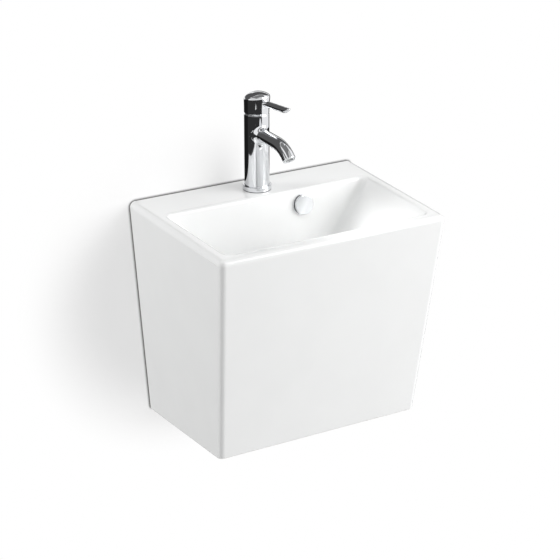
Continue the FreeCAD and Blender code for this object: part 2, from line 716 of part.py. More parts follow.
# ---------------------------------------------------------------- wall fixing
def wall_fixing():
    """Two hanger bolts, each with a sleeve, a washer and a nut on the room side of the rear panel."""
    flange_face = -REAR_PANEL - BOLT_SLEEVE_FLANGE
    washer_face = flange_face - BOLT_WASHER_THICKNESS
    nut_face = washer_face - BOLT_NUT_HEIGHT
    bolts = []
    sleeves = []
    washers = []
    nuts = []
    for side in (-1, 1):
        x = side * BOLT_SPACING / 2
        shank = rod(BOLT_RADIUS, 0, BOLT_IN_WALL - BOLT_POINT, x)
        tail = rod(BOLT_NUT_THREAD_RADIUS, nut_face - BOLT_TAIL, 0, x)
        point = Part.makeCone(
            BOLT_RADIUS, 1, BOLT_POINT, Vector(x, BOLT_IN_WALL - BOLT_POINT, 0), Vector(0, 1, 0)
        )
        bolts.append(join([tail, shank, point]))
        bush = rod(BOLT_HOLE_RADIUS - SLIP_GAP, -REAR_PANEL - SLIP_GAP, 0, x)
        flange = rod(BOLT_SLEEVE_FLANGE_RADIUS, flange_face, -REAR_PANEL, x)
        bore = rod(BOLT_RADIUS + SLIP_GAP, flange_face - CUT_MARGIN, CUT_MARGIN, x)
        sleeves.append(join([bush, flange]).cut(bore))
        washers.append(hollow_rod(BOLT_WASHER_RADIUS, BOLT_RADIUS + SLIP_GAP, washer_face, flange_face, x))
        nut = hexagon(BOLT_NUT_ACROSS_FLATS, BOLT_NUT_THREAD_RADIUS + THREAD_GAP, 0, BOLT_NUT_HEIGHT)
        nut.rotate(Vector(0, 0, 0), Vector(1, 0, 0), -90)
        nuts.append(nut.translated(Vector(x, nut_face, 0)))
    save("wall_bolts", Part.makeCompound(bolts))
    save("bolt_sleeves", Part.makeCompound(sleeves))
    save("bolt_washers", Part.makeCompound(washers))
    save("bolt_nuts", Part.makeCompound(nuts))


# ---------------------------------------------------------------- waste
def waste_body():
    """Flanged tube with a shelf for the plug, overflow windows and a bridge that holds the catch."""
    shelf_bore = PLUG_RADIUS + SLIP_GAP * 2
    profile = [
        (shelf_bore, 0),
        (WASTE_FLANGE_RADIUS - 1, 0),
        (WASTE_FLANGE_RADIUS, -1),
        (WASTE_FLANGE_RADIUS, -WASTE_FLANGE_THICKNESS),
        (WASTE_THREAD_RADIUS, -WASTE_FLANGE_THICKNESS),
        (WASTE_THREAD_RADIUS, WASTE_END),
        (WASTE_BORE_RADIUS, WASTE_END),
        (WASTE_BORE_RADIUS, -WASTE_SHELF_DEPTH),
        (shelf_bore, -WASTE_SHELF_DEPTH),
    ]
    body = turned(profile)
    for step in range(WASTE_WINDOW_COUNT):
        half = WASTE_WINDOW_WIDTH / 2
        window = block(
            (WASTE_BORE_RADIUS - CUT_MARGIN, -half, CHAMBER_FOOT + 1),
            (WASTE_THREAD_RADIUS + CUT_MARGIN, half, CHAMBER_TOP - 1),
        )
        window.rotate(Vector(0, 0, 0), Vector(0, 0, 1), 45 + 360 * step / WASTE_WINDOW_COUNT)
        body = body.cut(window)
    reach = (WASTE_BORE_RADIUS + WASTE_THREAD_RADIUS) / 2
    half = BRIDGE_WIDTH / 2
    foot = BRIDGE_TOP - BRIDGE_THICKNESS
    arms = [
        block((-reach, -half, foot), (reach, half, BRIDGE_TOP)),
        block((-half, -reach, foot), (half, reach, BRIDGE_TOP)),
    ]
    boss = post(BRIDGE_BOSS_RADIUS, foot, BRIDGE_TOP)
    return join([body, boss] + arms)


def waste_rings():
    """The two washers and the backnut that clamp the waste to the ceramic."""
    inner = WASTE_THREAD_RADIUS + SLIP_GAP
    save("waste_top_washer", at_drain(ring(WASTE_FLANGE_RADIUS, inner, DRAIN_SEAT, -WASTE_FLANGE_THICKNESS)))
    washer = ring(WASTE_BOTTOM_WASHER_RADIUS, inner, WASTE_NUT_TOP, COLLAR_FOOT)
    save("waste_bottom_washer", at_drain(washer))
    nut = hexagon(WASTE_NUT_ACROSS_FLATS, WASTE_THREAD_RADIUS + THREAD_GAP, WASTE_NUT_FOOT, WASTE_NUT_TOP)
    save("waste_backnut", at_drain(nut))


def waste_plug():
    """Low domed cover with a boss below for the spindle."""
    edge = PLUG_FOOT + PLUG_THICKNESS
    crown = edge + PLUG_CROWN
    rim = PLUG_RADIUS - 1
    dome_radius = (rim**2 + PLUG_CROWN**2) / (2 * PLUG_CROWN)
    disc = turned(
        [(0, PLUG_FOOT), (PLUG_RADIUS, PLUG_FOOT), (PLUG_RADIUS, edge - 1), (rim, edge), (rim, crown), (0, crown)]
    )
    dome = Part.makeSphere(dome_radius, Vector(0, 0, crown - dome_radius))
    boss = post(PLUG_BOSS_RADIUS, PLUG_BOSS_FOOT, PLUG_FOOT)
    thread = post(SPINDLE_RADIUS + THREAD_GAP, PLUG_BOSS_FOOT - CUT_MARGIN, PLUG_FOOT)
    return join([disc.common(dome), boss]).cut(thread)


def click_parts():
    """Barrel, spring and spindle of the push-open catch."""
    barrel = post(BARREL_RADIUS, BRIDGE_TOP, BARREL_TOP)
    barrel = barrel.cut(post(BARREL_BORE_RADIUS, SPRING_FOOT, BARREL_TOP - BARREL_LIP))
    barrel = barrel.cut(post(SPINDLE_RADIUS + RUNNING_GAP, SPRING_FOOT, BARREL_TOP + CUT_MARGIN))
    save("click_barrel", at_drain(barrel))
    shank = post(SPINDLE_RADIUS, SPRING_TOP, PLUG_FOOT)
    collar = post(BARREL_BORE_RADIUS - SLIP_GAP, SPRING_TOP, COLLAR_TOP)
    save("click_spindle", at_drain(join([shank, collar])))
    wire = SPRING_WIRE / 2
    coil = BARREL_BORE_RADIUS - LOOSE_GAP - wire
    spring = helix_tube(coil, wire, SPRING_FOOT, SPRING_TOP, SPRING_TURNS)
    gap = (SPRING_CLOSED - SPRING_WIRE) / SPRING_TURNS - SPRING_WIRE
    print(f"spring: least gap between turns {gap:.2f} mm")
    save("click_spring", at_drain(spring))


def waste_parts():
    """Everything of the waste."""
    save("waste_body", at_drain(waste_body()))
    waste_rings()
    save("waste_plug", at_drain(waste_plug()))
    seal = ring(PLUG_SEAL_OUTER, PLUG_SEAL_INNER, -WASTE_SHELF_DEPTH, PLUG_FOOT)
    save("waste_plug_seal", at_drain(seal))
    click_parts()


# ---------------------------------------------------------------- bottle trap
def union_nut(thread_radius, thread_end, lip_face):
    """Ribbed nut: a bore for the thread, and a lip with a pipe hole that pulls a flange or seal up."""
    upward = thread_end > lip_face
    lip_top = lip_face if upward else lip_face + TRAP_NUT_LIP
    lip_foot = lip_face - TRAP_NUT_LIP if upward else lip_face
    low = min(lip_foot, thread_end)
    high = max(lip_top, thread_end)
    nut = post(TRAP_NUT_RADIUS, low, high)
    ribs = []
    for step in range(TRAP_NUT_RIBS):
        angle = 2 * math.pi * step / TRAP_NUT_RIBS
        ribs.append(
            post(TRAP_RIB_RADIUS, low, high, TRAP_NUT_RADIUS * math.cos(angle), TRAP_NUT_RADIUS * math.sin(angle))
        )
    nut = join([nut] + ribs)
    nut = nut.cut(post(PIPE_RADIUS + SLIP_GAP, low - CUT_MARGIN, high + CUT_MARGIN))
    bore_low, bore_high = (lip_face, high + CUT_MARGIN) if upward else (low - CUT_MARGIN, lip_face)
    return nut.cut(post(thread_radius + THREAD_GAP, bore_low, bore_high))


def trap_top():
    """Riser pipe with its flange, and the nut and washer that hold it to the waste."""
    flange_foot = RISER_TOP - TRAP_FLANGE
    flange = post(WASTE_THREAD_RADIUS - LOOSE_GAP, flange_foot, RISER_TOP)
    pipe = post(PIPE_RADIUS, RISER_FOOT, RISER_TOP)
    bore = post(PIPE_RADIUS - PIPE_WALL, RISER_FOOT - CUT_MARGIN, RISER_TOP + CUT_MARGIN)
    save("trap_riser", at_drain(join([flange, pipe]).cut(bore)))
    washer = ring(WASTE_THREAD_RADIUS - LOOSE_GAP, WASTE_BORE_RADIUS, RISER_TOP, WASTE_END)
    save("trap_inlet_washer", at_drain(washer))
    nut = union_nut(WASTE_THREAD_RADIUS, WASTE_END + TRAP_NUT_GRIP, flange_foot)
    save("trap_inlet_nut", at_drain(nut))
    seal = ring(WASTE_THREAD_RADIUS - LOOSE_GAP, PIPE_RADIUS, TRAP_NECK_TOP, TRAP_NECK_TOP + TRAP_SEAL)
    save("trap_collar_seal", at_drain(seal))
    collar = union_nut(WASTE_THREAD_RADIUS, TRAP_NECK_TOP - TRAP_NUT_GRIP, TRAP_NECK_TOP + TRAP_SEAL)
    save("trap_collar_nut", at_drain(collar))


def trap_body():
    """Head of the bottle trap: neck at the top, side outlet to the wall, thread for the cup below."""
    inside = TRAP_BODY_RADIUS - TRAP_BODY_WALL
    neck = post(WASTE_THREAD_RADIUS, TRAP_SHOULDER - TRAP_BODY_WALL, TRAP_NECK_TOP)
    shell = post(TRAP_BODY_RADIUS, TRAP_BODY_FOOT, TRAP_SHOULDER)
    outlet = rod(WASTE_THREAD_RADIUS, 0, TRAP_OUTLET_REACH, 0, TRAP_OUTLET_HEIGHT)
    body = join([neck, shell, outlet])
    body = body.cut(post(PIPE_RADIUS + SLIP_GAP, TRAP_BODY_FOOT, TRAP_NECK_TOP + CUT_MARGIN))
    body = body.cut(post(inside, TRAP_BODY_FOOT - CUT_MARGIN, TRAP_SHOULDER - TRAP_BODY_WALL))
    return body.cut(rod(PIPE_RADIUS + SLIP_GAP, 0, TRAP_OUTLET_REACH + CUT_MARGIN, 0, TRAP_OUTLET_HEIGHT))


def trap_cup():
    """Bottle that screws over the foot of the trap's head."""
    thread = TRAP_BODY_RADIUS + THREAD_GAP
    outer = TRAP_BODY_RADIUS + TRAP_CUP_WALL
    inside = TRAP_BODY_RADIUS - TRAP_BODY_WALL
    profile = [
        (0, CUP_FOOT),
        (outer - TRAP_CUP_WALL * 2, CUP_FOOT),
        (outer - TRAP_CUP_WALL, CUP_FOOT + TRAP_CUP_WALL),
        (outer - TRAP_CUP_WALL, CUP_SEAT - TRAP_CUP_WALL * 2),
        (outer, CUP_SEAT - TRAP_CUP_WALL),
        (outer, CUP_TOP),
        (thread, CUP_TOP),
        (thread, CUP_SEAT),
        (inside, CUP_SEAT),
        (inside, CUP_FOOT + TRAP_CUP_FLOOR),
        (0, CUP_FOOT + TRAP_CUP_FLOOR),
    ]
    return turned(profile)


def trap_outlet():
    """Outlet pipe to the wall with its nut, washer and rosette, made along y."""
    wall = DRAIN_FROM_WALL
    seal_face = TRAP_OUTLET_REACH + TRAP_SEAL
    start = TRAP_OUTLET_REACH - TRAP_PIPE_INSERT
    height = TRAP_OUTLET_HEIGHT
    pipe = rod(PIPE_RADIUS, start, wall + PIPE_BEAD_LENGTH + PIPE_PAST_WALL, 0, height)
    bead = rod(PIPE_RADIUS + PIPE_BEAD, wall, wall + PIPE_BEAD_LENGTH, 0, height)
    bore = rod(PIPE_RADIUS - PIPE_WALL, start - CUT_MARGIN, wall + PIPE_PAST_WALL + CUT_MARGIN * 2, 0, height)
    save("trap_outlet_pipe", at_drain(join([pipe, bead]).cut(bore)))
    washer = hollow_rod(WASTE_THREAD_RADIUS - LOOSE_GAP, PIPE_RADIUS, TRAP_OUTLET_REACH, seal_face, 0, height)
    save("trap_outlet_washer", at_drain(washer))
    nut = union_nut(WASTE_THREAD_RADIUS, TRAP_OUTLET_REACH - TRAP_NUT_GRIP, seal_face)
    nut.rotate(Vector(0, 0, 0), Vector(1, 0, 0), -90)
    save("trap_outlet_nut", at_drain(nut.translated(Vector(0, 0, height))))
    bore_radius = PIPE_RADIUS + SLIP_GAP
    profile = [
        (bore_radius, ROSETTE_DEPTH),
        (bore_radius + ROSETTE_SHEET * 2, ROSETTE_DEPTH),
        (ROSETTE_RADIUS, ROSETTE_SHEET),
        (ROSETTE_RADIUS, 0),
        (ROSETTE_RADIUS - ROSETTE_SHEET, 0),
        (bore_radius + ROSETTE_SHEET, ROSETTE_DEPTH - ROSETTE_SHEET),
        (bore_radius, ROSETTE_DEPTH - ROSETTE_SHEET),
    ]
    rosette = turned(profile)
    rosette.rotate(Vector(0, 0, 0), Vector(1, 0, 0), 90)
    save("wall_rosette", at_drain(rosette.translated(Vector(0, wall, height))))


def trap_parts():
    """Everything of the bottle trap."""
    trap_top()
    save("trap_body", at_drain(trap_body()))
    save("trap_cup", at_drain(trap_cup()))
    seal = ring(TRAP_BODY_RADIUS, TRAP_BODY_RADIUS - TRAP_BODY_WALL, CUP_SEAT, TRAP_BODY_FOOT)
    save("trap_cup_seal", at_drain(seal))
    trap_outlet()


# ---------------------------------------------------------------- mixer tap, fixed parts
def spout_path(start):
    """Centre line of the spout: level out of the column, then one arc down. Also the mouth and its direction."""
    bend = math.radians(SPOUT_BEND_ANGLE)
    crest = Vector(0, -SPOUT_STRAIGHT, SPOUT_HEIGHT)

    def on_bend(angle):
        forward = SPOUT_BEND_RADIUS * math.sin(angle)
        down = SPOUT_BEND_RADIUS * (1 - math.cos(angle))
        return Vector(0, -SPOUT_STRAIGHT - forward, SPOUT_HEIGHT - down)

    mouth = on_bend(bend)
    straight = Part.LineSegment(Vector(0, -start, SPOUT_HEIGHT), crest).toShape()
    arc = Part.Arc(crest, on_bend(bend / 2), mouth).toShape()
    outward = Vector(0, -math.cos(bend), -math.sin(bend))
    return Part.Wire([straight, arc]), mouth, outward


def spout_tube(radius, start):
    """Round bar along the spout's centre line."""
    path = spout_path(start)[0]
    section = Part.Wire(Part.makeCircle(radius, Vector(0, -start, SPOUT_HEIGHT), Vector(0, 1, 0)))
    return path.makePipeShell([section], True, False)


def ports(low, high, radius_gap=0.0):
    """The hot, cold and mixed ways, as rods between two heights."""
    ways = [post(PORT_RADIUS + radius_gap, low, high, side * PORT_SIDE, -PORT_FORWARD) for side in (-1, 1)]
    ways.append(post(MIX_PORT_RADIUS + radius_gap, low, high, 0, MIX_PORT_REAR))
    return ways


def tap_body():
    """Column, valve block and spout in one casting, with its waterways and the ball that the head turns on."""
    column = post(COLUMN_RADIUS, BASE_SEAL_THICKNESS, COLUMN_TOP)
    ball = Part.makeSphere(BALL_RADIUS, Vector(0, 0, PIVOT_HEIGHT))
    column = column.common(join([post(COLUMN_RADIUS * 2, 0, PIVOT_HEIGHT), ball]))
    casting = column.fuse(spout_tube(SPOUT_RADIUS, COLUMN_RADIUS / 2))
    reach = SPOUT_RADIUS * 1.2
    root = edges_where(
        casting,
        lambda point: abs(math.hypot(point.x, point.y) - COLUMN_RADIUS) < PIN_PRESS_GAP
        and abs(point.z - SPOUT_HEIGHT) < reach
        and point.y < -COLUMN_RADIUS / 2,
    )
    casting = casting.makeFillet(SPOUT_ROOT_ROUND, root)
    mouth, outward = spout_path(0)[1:]
    lip = edges_where(casting, lambda point: (point - mouth).Length < SPOUT_RADIUS * 1.01)
    casting = casting.makeFillet(SPOUT_LIP_ROUND, lip)
    wet_start = CARTRIDGE_RADIUS + SLIP_GAP + SPOUT_LIP_ROUND
    cuts = [
        post(COLUMN_RADIUS - COLUMN_WALL, -CUT_MARGIN, INLET_HEIGHT),
        post(CARTRIDGE_RADIUS + SLIP_GAP, CARTRIDGE_FLOOR, COLUMN_TOP + CUT_MARGIN),
        spout_tube(SPOUT_BORE_RADIUS, wet_start),
        Part.makeCylinder(AERATOR_RADIUS, AERATOR_DEPTH + CUT_MARGIN, mouth - outward * AERATOR_DEPTH, outward),
        block(
            (-MIX_SLOT_HALF_WIDTH, -wet_start - MIX_SLOT_HALF_WIDTH, MIX_SLOT_FOOT),
            (MIX_SLOT_HALF_WIDTH, MIX_PORT_REAR + MIX_PORT_RADIUS, MIX_SLOT_TOP),
        ),
        post(MIX_PORT_RADIUS, MIX_SLOT_TOP - CUT_MARGIN, CARTRIDGE_FLOOR + CUT_MARGIN, 0, MIX_PORT_REAR),
        post(STUD_RADIUS + THREAD_GAP, 0, INLET_HEIGHT + STUD_IN_BODY, 0, STUD_REAR),
    ]
    for side in (-1, 1):
        socket_top = INLET_HEIGHT + INLET_SPIGOT_LENGTH + SLIP_GAP
        socket = INLET_SPIGOT_RADIUS + THREAD_GAP
        cuts.append(post(socket, 0, socket_top, side * INLET_SIDE, -INLET_FORWARD))
        cuts.append(post(PORT_RADIUS, socket_top - 1, CARTRIDGE_FLOOR + 1, side * PORT_SIDE, -PORT_FORWARD))
    return casting.cut(cuts)


def inlet_unions():
    """The two threaded unions that hang under the casting and take the hot and cold tails."""
    unions = []
    thread_top = INLET_HEIGHT - INLET_UNION_WEB
    foot = thread_top - INLET_THREAD_LENGTH
    for side in (-1, 1):
        x = side * INLET_SIDE
        barrel = post(INLET_UNION_RADIUS, foot, INLET_HEIGHT, x, -INLET_FORWARD)
        spigot = post(INLET_SPIGOT_RADIUS, INLET_HEIGHT, INLET_HEIGHT + INLET_SPIGOT_LENGTH, x, -INLET_FORWARD)
        way = post(PORT_RADIUS, foot, INLET_HEIGHT + INLET_SPIGOT_LENGTH, x, -INLET_FORWARD)
        thread = post(INLET_RADIUS, foot, thread_top, x, -INLET_FORWARD)
        unions.append(join([barrel, spigot]).cut([way, thread]))
    save("tap_inlet_unions", at_tap(Part.makeCompound(unions)))


def tap_base():
    """Collar round the column's foot and the seal below it."""
    low = BASE_SEAL_THICKNESS
    high = low + BASE_RING_HEIGHT
    collar = ring(BASE_RING_RADIUS, COLUMN_RADIUS + RUNNING_GAP, low, high)
    edge = edges_where(
        collar,
        lambda point: abs(point.z - high) < PIN_PRESS_GAP
        and math.hypot(point.x, point.y) > BASE_RING_RADIUS - PIN_PRESS_GAP,
    )
    save("tap_base_ring", at_tap(collar.makeFillet(BASE_RING_ROUND, edge)))
    seal = ring(BASE_RING_RADIUS - SLIP_GAP, TAP_HOLE_RADIUS + SLIP_GAP, 0, low)
    save("tap_base_seal", at_tap(seal))


def horseshoe(low, high):
    """Washer under the deck, open at the front for the two tails, with a hole for the stud."""
    disc = post(HORSESHOE_RADIUS, low, high)
    slot = block(
        (-HORSESHOE_SLOT / 2, -HORSESHOE_RADIUS - CUT_MARGIN, low - CUT_MARGIN),
        (HORSESHOE_SLOT / 2, HORSESHOE_SLOT_END, high + CUT_MARGIN),
    )
    hole = post(STUD_RADIUS + SLIP_GAP, low - CUT_MARGIN, high + CUT_MARGIN, 0, STUD_REAR)
    return disc.cut([slot, hole])


def tap_fixing():
    """Stud, nut and the two horseshoe washers that clamp the tap to the deck."""
    rubber_foot = -DECK_THICKNESS - HORSESHOE_RUBBER
    plate_foot = rubber_foot - HORSESHOE_PLATE
    stud = post(STUD_RADIUS, -STUD_BELOW_DECK, INLET_HEIGHT + STUD_IN_BODY, 0, STUD_REAR)
    save("tap_stud", at_tap(stud))
    save("tap_horseshoe_rubber", at_tap(horseshoe(rubber_foot, -DECK_THICKNESS)))
    save("tap_horseshoe_plate", at_tap(horseshoe(plate_foot, rubber_foot)))
    nut = hexagon(STUD_NUT_ACROSS_FLATS, STUD_RADIUS + THREAD_GAP, plate_foot - STUD_NUT_HEIGHT, plate_foot)
    save("tap_stud_nut", at_tap(nut.translated(Vector(0, STUD_REAR, 0))))


def aerator_parts():
    """Threaded shell, mesh insert and washer in the spout's mouth, made upright and laid along the mouth."""
    mouth = spout_path(0)[1]
    turn = FreeCAD.Rotation(Vector(1, 0, 0), -(90 - SPOUT_BEND_ANGLE))

    def in_mouth(shape):
        shape.Placement = FreeCAD.Placement(TAP_SPOT + mouth, turn).multiply(shape.Placement)
        return shape

    washer_top = AERATOR_DEPTH
    washer_foot = washer_top - AERATOR_WASHER
    outer = AERATOR_RADIUS - THREAD_GAP
    inner = outer - AERATOR_SHELL
    shell = ring(outer, inner, 0, washer_foot)
    ledge = ring(inner, inner - AERATOR_SHELL, 0, AERATOR_SHELL)
    save("aerator_housing", in_mouth(join([shell, ledge])))
    insert = post(inner - RUNNING_GAP, AERATOR_SHELL, AERATOR_SHELL + AERATOR_INSERT_DEPTH)
    half = AERATOR_HOLE / 2
    holes = []
    count = int((inner - AERATOR_SHELL) / AERATOR_PITCH)
    for column in range(-count, count + 1):
        for row in range(-count, count + 1):
            x = column * AERATOR_PITCH
            y = row * AERATOR_PITCH
            if math.hypot(x, y) < inner - AERATOR_SHELL - half:
                holes.append(block((x - half, y - half, 0), (x + half, y + half, AERATOR_DEPTH)))
    save("aerator_insert", in_mouth(insert.cut(holes)))
    save("aerator_washer", in_mouth(ring(outer, inner, washer_foot, washer_top)))


def cartridge_fixed():
    """Housing, base seal, fixed disc and retaining nut of the ceramic cartridge."""
    seal = post(CARTRIDGE_RADIUS - CARTRIDGE_WALL, CARTRIDGE_FLOOR, HOUSING_FOOT)
    save("cartridge_base_seal", at_tap(seal.cut(ports(0, COLUMN_TOP, SLIP_GAP))))
    housing = post(CARTRIDGE_RADIUS, HOUSING_FOOT, HOUSING_TOP)
    housing = housing.cut(post(HOUSING_BORE_RADIUS, FIXED_DISC_FOOT, HOUSING_TOP - CARTRIDGE_LIP))
    lip_bore = ROTOR_NECK_RADIUS + CARTRIDGE_LIP_GAP
    housing = housing.cut(post(lip_bore, FIXED_DISC_FOOT, HOUSING_TOP + CUT_MARGIN))
    save("cartridge_housing", at_tap(housing.cut(ports(0, COLUMN_TOP))))
    disc = post(FIXED_DISC_RADIUS, FIXED_DISC_FOOT, FIXED_DISC_FOOT + FIXED_DISC_THICKNESS)
    save("fixed_disc", at_tap(disc.cut(ports(0, COLUMN_TOP))))
    top = HOUSING_TOP + CARTRIDGE_NUT_HEIGHT
    nut = ring(CARTRIDGE_RADIUS + SLIP_GAP - THREAD_GAP, lip_bore, HOUSING_TOP, top)
    half = CARTRIDGE_NUT_NOTCH / 2
    for step in range(CARTRIDGE_NUT_NOTCHES):
        low = top - CARTRIDGE_NUT_NOTCH_DEPTH
        notch = block((0, -half, low), (CARTRIDGE_RADIUS * 2, half, top + CUT_MARGIN))
        notch.rotate(Vector(0, 0, 0), Vector(0, 0, 1), 360 * step / CARTRIDGE_NUT_NOTCHES)
        nut = nut.cut(notch)
    save("cartridge_nut", at_tap(nut))


# ---------------------------------------------------------------- mixer tap, moving parts
def cartridge_rotor():
    """Carrier that turns in the housing: it guides the moving disc and holds the stem's pivot pin."""
    drum = post(ROTOR_RADIUS, ROTOR_FOOT, ROTOR_SHOULDER)
    neck = post(ROTOR_NECK_RADIUS, ROTOR_SHOULDER, ROTOR_TOP)
    half = MOVING_DISC_RADIUS + SLIP_GAP
    guide = block(
        (-half, -CARTRIDGE_RADIUS, ROTOR_FOOT - CUT_MARGIN),
        (half, CARTRIDGE_RADIUS, MOVING_DISC_TOP + LOOSE_GAP),
    )
    lift = math.radians(LEVER_LIFT)
    stem_half = STEM_SIDE / 2
    lean = stem_half / math.cos(lift) + STEM_SLOT_ROOM
    front = lean + STEM_SHOULDER_BELOW_PIVOT * math.tan(lift)
    rear = lean + (ROTOR_TOP - PIVOT_HEIGHT) * math.tan(lift)
    side = stem_half + SLIP_GAP
    slot = block((-side, -front, ROTOR_FOOT), (side, rear, ROTOR_TOP + CUT_MARGIN))
    pin_hole = pivot_rod(PIVOT_PIN_RADIUS + PIN_PRESS_GAP, CARTRIDGE_RADIUS * 2)
    return join([drum, neck]).cut([guide, slot, pin_hole])


def pivot_rod(radius, length):
    """Rod along x through the stem's pivot."""
    return Part.makeCylinder(radius, length, Vector(-length / 2, 0, PIVOT_HEIGHT), Vector(1, 0, 0))


def moving_disc():
    """Sliding ceramic disc: a round pocket on top for the stem's ball, a mixing hollow below."""
    disc = post(MOVING_DISC_RADIUS, MOVING_DISC_FOOT, MOVING_DISC_TOP)
    pocket_radius = STEM_BALL_RADIUS + LOOSE_GAP
    pocket = post(pocket_radius, MOVING_DISC_TOP - DISC_POCKET_DEPTH, MOVING_DISC_TOP + CUT_MARGIN)
    hollow = block(
        (-DISC_CAVITY_HALF_WIDTH, -DISC_CAVITY_FRONT, MOVING_DISC_FOOT - CUT_MARGIN),
        (DISC_CAVITY_HALF_WIDTH, DISC_CAVITY_REAR, MOVING_DISC_FOOT + DISC_CAVITY_DEPTH),
    )
    return disc.cut([pocket, hollow])


def cartridge_stem():
    """Square stem: a ball at its foot in the moving disc, the pivot hole, and a square head in the hub."""
    half = STEM_SIDE / 2
    shoulder = PIVOT_HEIGHT - STEM_SHOULDER_BELOW_PIVOT
    shaft = block((-half, -half, shoulder), (half, half, STEM_TOP))
    neck = post(STEM_NECK_RADIUS, STEM_BALL_HEIGHT, shoulder + 1)
    ball = Part.makeSphere(STEM_BALL_RADIUS, Vector(0, 0, STEM_BALL_HEIGHT))
    hole = pivot_rod(PIVOT_PIN_RADIUS + RUNNING_GAP, STEM_SIDE * 2)
    return join([shaft, neck, ball]).cut(hole)


def head_outside():
    """Head: a short straight foot, a slight swell towards the lever, and a dome that is highest at the front."""
    foot = post(COLUMN_RADIUS, SEAM_HEIGHT, SEAM_HEIGHT + HEAD_STRAIGHT)
    low = SEAM_HEIGHT + HEAD_STRAIGHT
    upright = Vector(0, 0, 1)
    sections = [
        Part.Wire(Part.makeCircle(COLUMN_RADIUS, Vector(0, 0, low), upright)),
        Part.Wire(
            Part.makeCircle(HEAD_TOP_RADIUS, Vector(0, -HEAD_TOP_FORWARD, low + HEAD_TAPER), upright)
        ),
    ]
    swell = Part.makeLoft(sections, True, True)
    dome = Part.makeSphere(DOME_RADIUS, Vector(0, -DOME_FORWARD, HEAD_TOP - DOME_RADIUS))
    head = join([foot, swell]).common(dome)
    rim = []
    for edge in head.Edges:
        height = edge.BoundBox.Center.z
        closed = edge.BoundBox.XLength > COLUMN_RADIUS
        if closed and height > low + HEAD_STRAIGHT:
            rim.append(edge)
    return head.makeFillet(HEAD_EDGE_ROUND, rim)


def handle_hub():
    """Head with a round cavity about the pivot, the stem's socket, the lever's seat and the grub screw hole."""
    half = STEM_SIDE / 2 + RUNNING_GAP
    cuts = [
        Part.makeSphere(HUB_CAVITY_RADIUS, Vector(0, 0, PIVOT_HEIGHT)),
        block((-half, -half, SEAM_HEIGHT), (half, half, STEM_TOP + RUNNING_GAP)),
        rod(LEVER_RADIUS + RUNNING_GAP, -LEVER_REACH, -LEVER_SEAT, 0, LEVER_HEIGHT),
        rod(LEVER_TANG_RADIUS + RUNNING_GAP, -LEVER_REACH, LEVER_TANG_LENGTH - LEVER_SEAT, 0, LEVER_HEIGHT),
        rod(GRUB_RADIUS + THREAD_GAP, 0, HEAD_TOP_RADIUS * 2, 0, GRUB_HEIGHT),
        rod(PLUG_COVER_RADIUS, COLUMN_RADIUS - PLUG_COVER_DEPTH, HEAD_TOP_RADIUS * 2, 0, GRUB_HEIGHT),
    ]
    return head_outside().cut(cuts)


def handle_lever():
    """Round pin lever: a tang in the head, a straight bar, and a nose that is swept up from below."""
    tip = LEVER_REACH
    nose = Vector(0, -tip + LEVER_NOSE_ROUND, 0)
    bar = rod(LEVER_RADIUS, -tip, -LEVER_SEAT)
    end = edges_where(bar, lambda point: abs(point.y + tip) < PIN_PRESS_GAP)
    bar = bar.makeFillet(LEVER_NOSE_ROUND, end)
    tang = rod(LEVER_TANG_RADIUS, -LEVER_SEAT - 1, LEVER_TANG_LENGTH - LEVER_SEAT)
    side = LEVER_RADIUS * 2
    sweep_start = Vector(-side, -tip + LEVER_NOSE, -LEVER_RADIUS)
    sweep_end = Vector(-side, -tip, LEVER_RADIUS / 2)
    sweep_middle = Vector(-side, between(sweep_start.y, sweep_end.y, 0.66), -LEVER_RADIUS * 0.62)
    corner = Vector(-side, -tip - CUT_MARGIN, LEVER_RADIUS / 2)
    low_corner = Vector(-side, -tip - CUT_MARGIN, -side)
    low_start = Vector(-side, sweep_start.y, -side)
    outline = [
        Part.Arc(sweep_start, sweep_middle, sweep_end).toShape(),
        Part.makeLine(sweep_end, corner),
        Part.makeLine(corner, low_corner),
        Part.makeLine(low_corner, low_start),
        Part.makeLine(low_start, sweep_start),
    ]
    below = Part.Face(Part.Wire(outline)).extrude(Vector(2 * side, 0, 0))
    return join([bar, tang]).cut(below).translated(Vector(0, 0, LEVER_HEIGHT))


def handle_parts():
    """The pieces that turn and tilt with the lever, in the place where it rests."""
    save("cartridge_rotor", at_handle(cartridge_rotor()))
    save("stem_pivot_pin", at_handle(pivot_rod(PIVOT_PIN_RADIUS, PIVOT_PIN_LENGTH)))
    save("moving_disc", at_handle(moving_disc()))
    save("cartridge_stem", at_handle(cartridge_stem()))
    save("handle_hub", at_handle(handle_hub()))
    save("handle_lever", at_handle(handle_lever()))
    start = STEM_SIDE / 2 + RUNNING_GAP
    save("handle_grub_screw", at_handle(rod(GRUB_RADIUS, start, start + GRUB_LENGTH, 0, GRUB_HEIGHT)))
    inner = COLUMN_RADIUS - PLUG_COVER_DEPTH
    cover = rod(PLUG_COVER_RADIUS - RUNNING_GAP, inner, HEAD_TOP_RADIUS * 2, 0, GRUB_HEIGHT)
    cover = cover.common(post(COLUMN_RADIUS - SLIP_GAP, SEAM_HEIGHT, HEAD_TOP))
    save("handle_plug", at_handle(cover))


def tap_parts():
    """Everything of the mixer tap."""
    save("tap_body", at_tap(tap_body()))
    inlet_unions()
    tap_base()
    tap_fixing()
    aerator_parts()
    cartridge_fixed()
    handle_parts()


def main():
    os.makedirs(OUTDIR, exist_ok=True)
    save("basin_body", basin_body())
    overflow_parts()
    wall_fixing()
    waste_parts()
    trap_parts()
    tap_parts()


main()
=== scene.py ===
"""Looks of a wall hung basin: glazed ceramic, chromed mixer, waste, trap and wall fixing.

In metres. The wall is the plane y = 0, -Y comes out of it, +Z is up, and the wall bolts are at z = 0.
"""

import json
import math

import bmesh
import bpy
import numpy as np
from bpy.props import FloatProperty, FloatVectorProperty, IntProperty, PointerProperty
from mathutils import Matrix, Vector


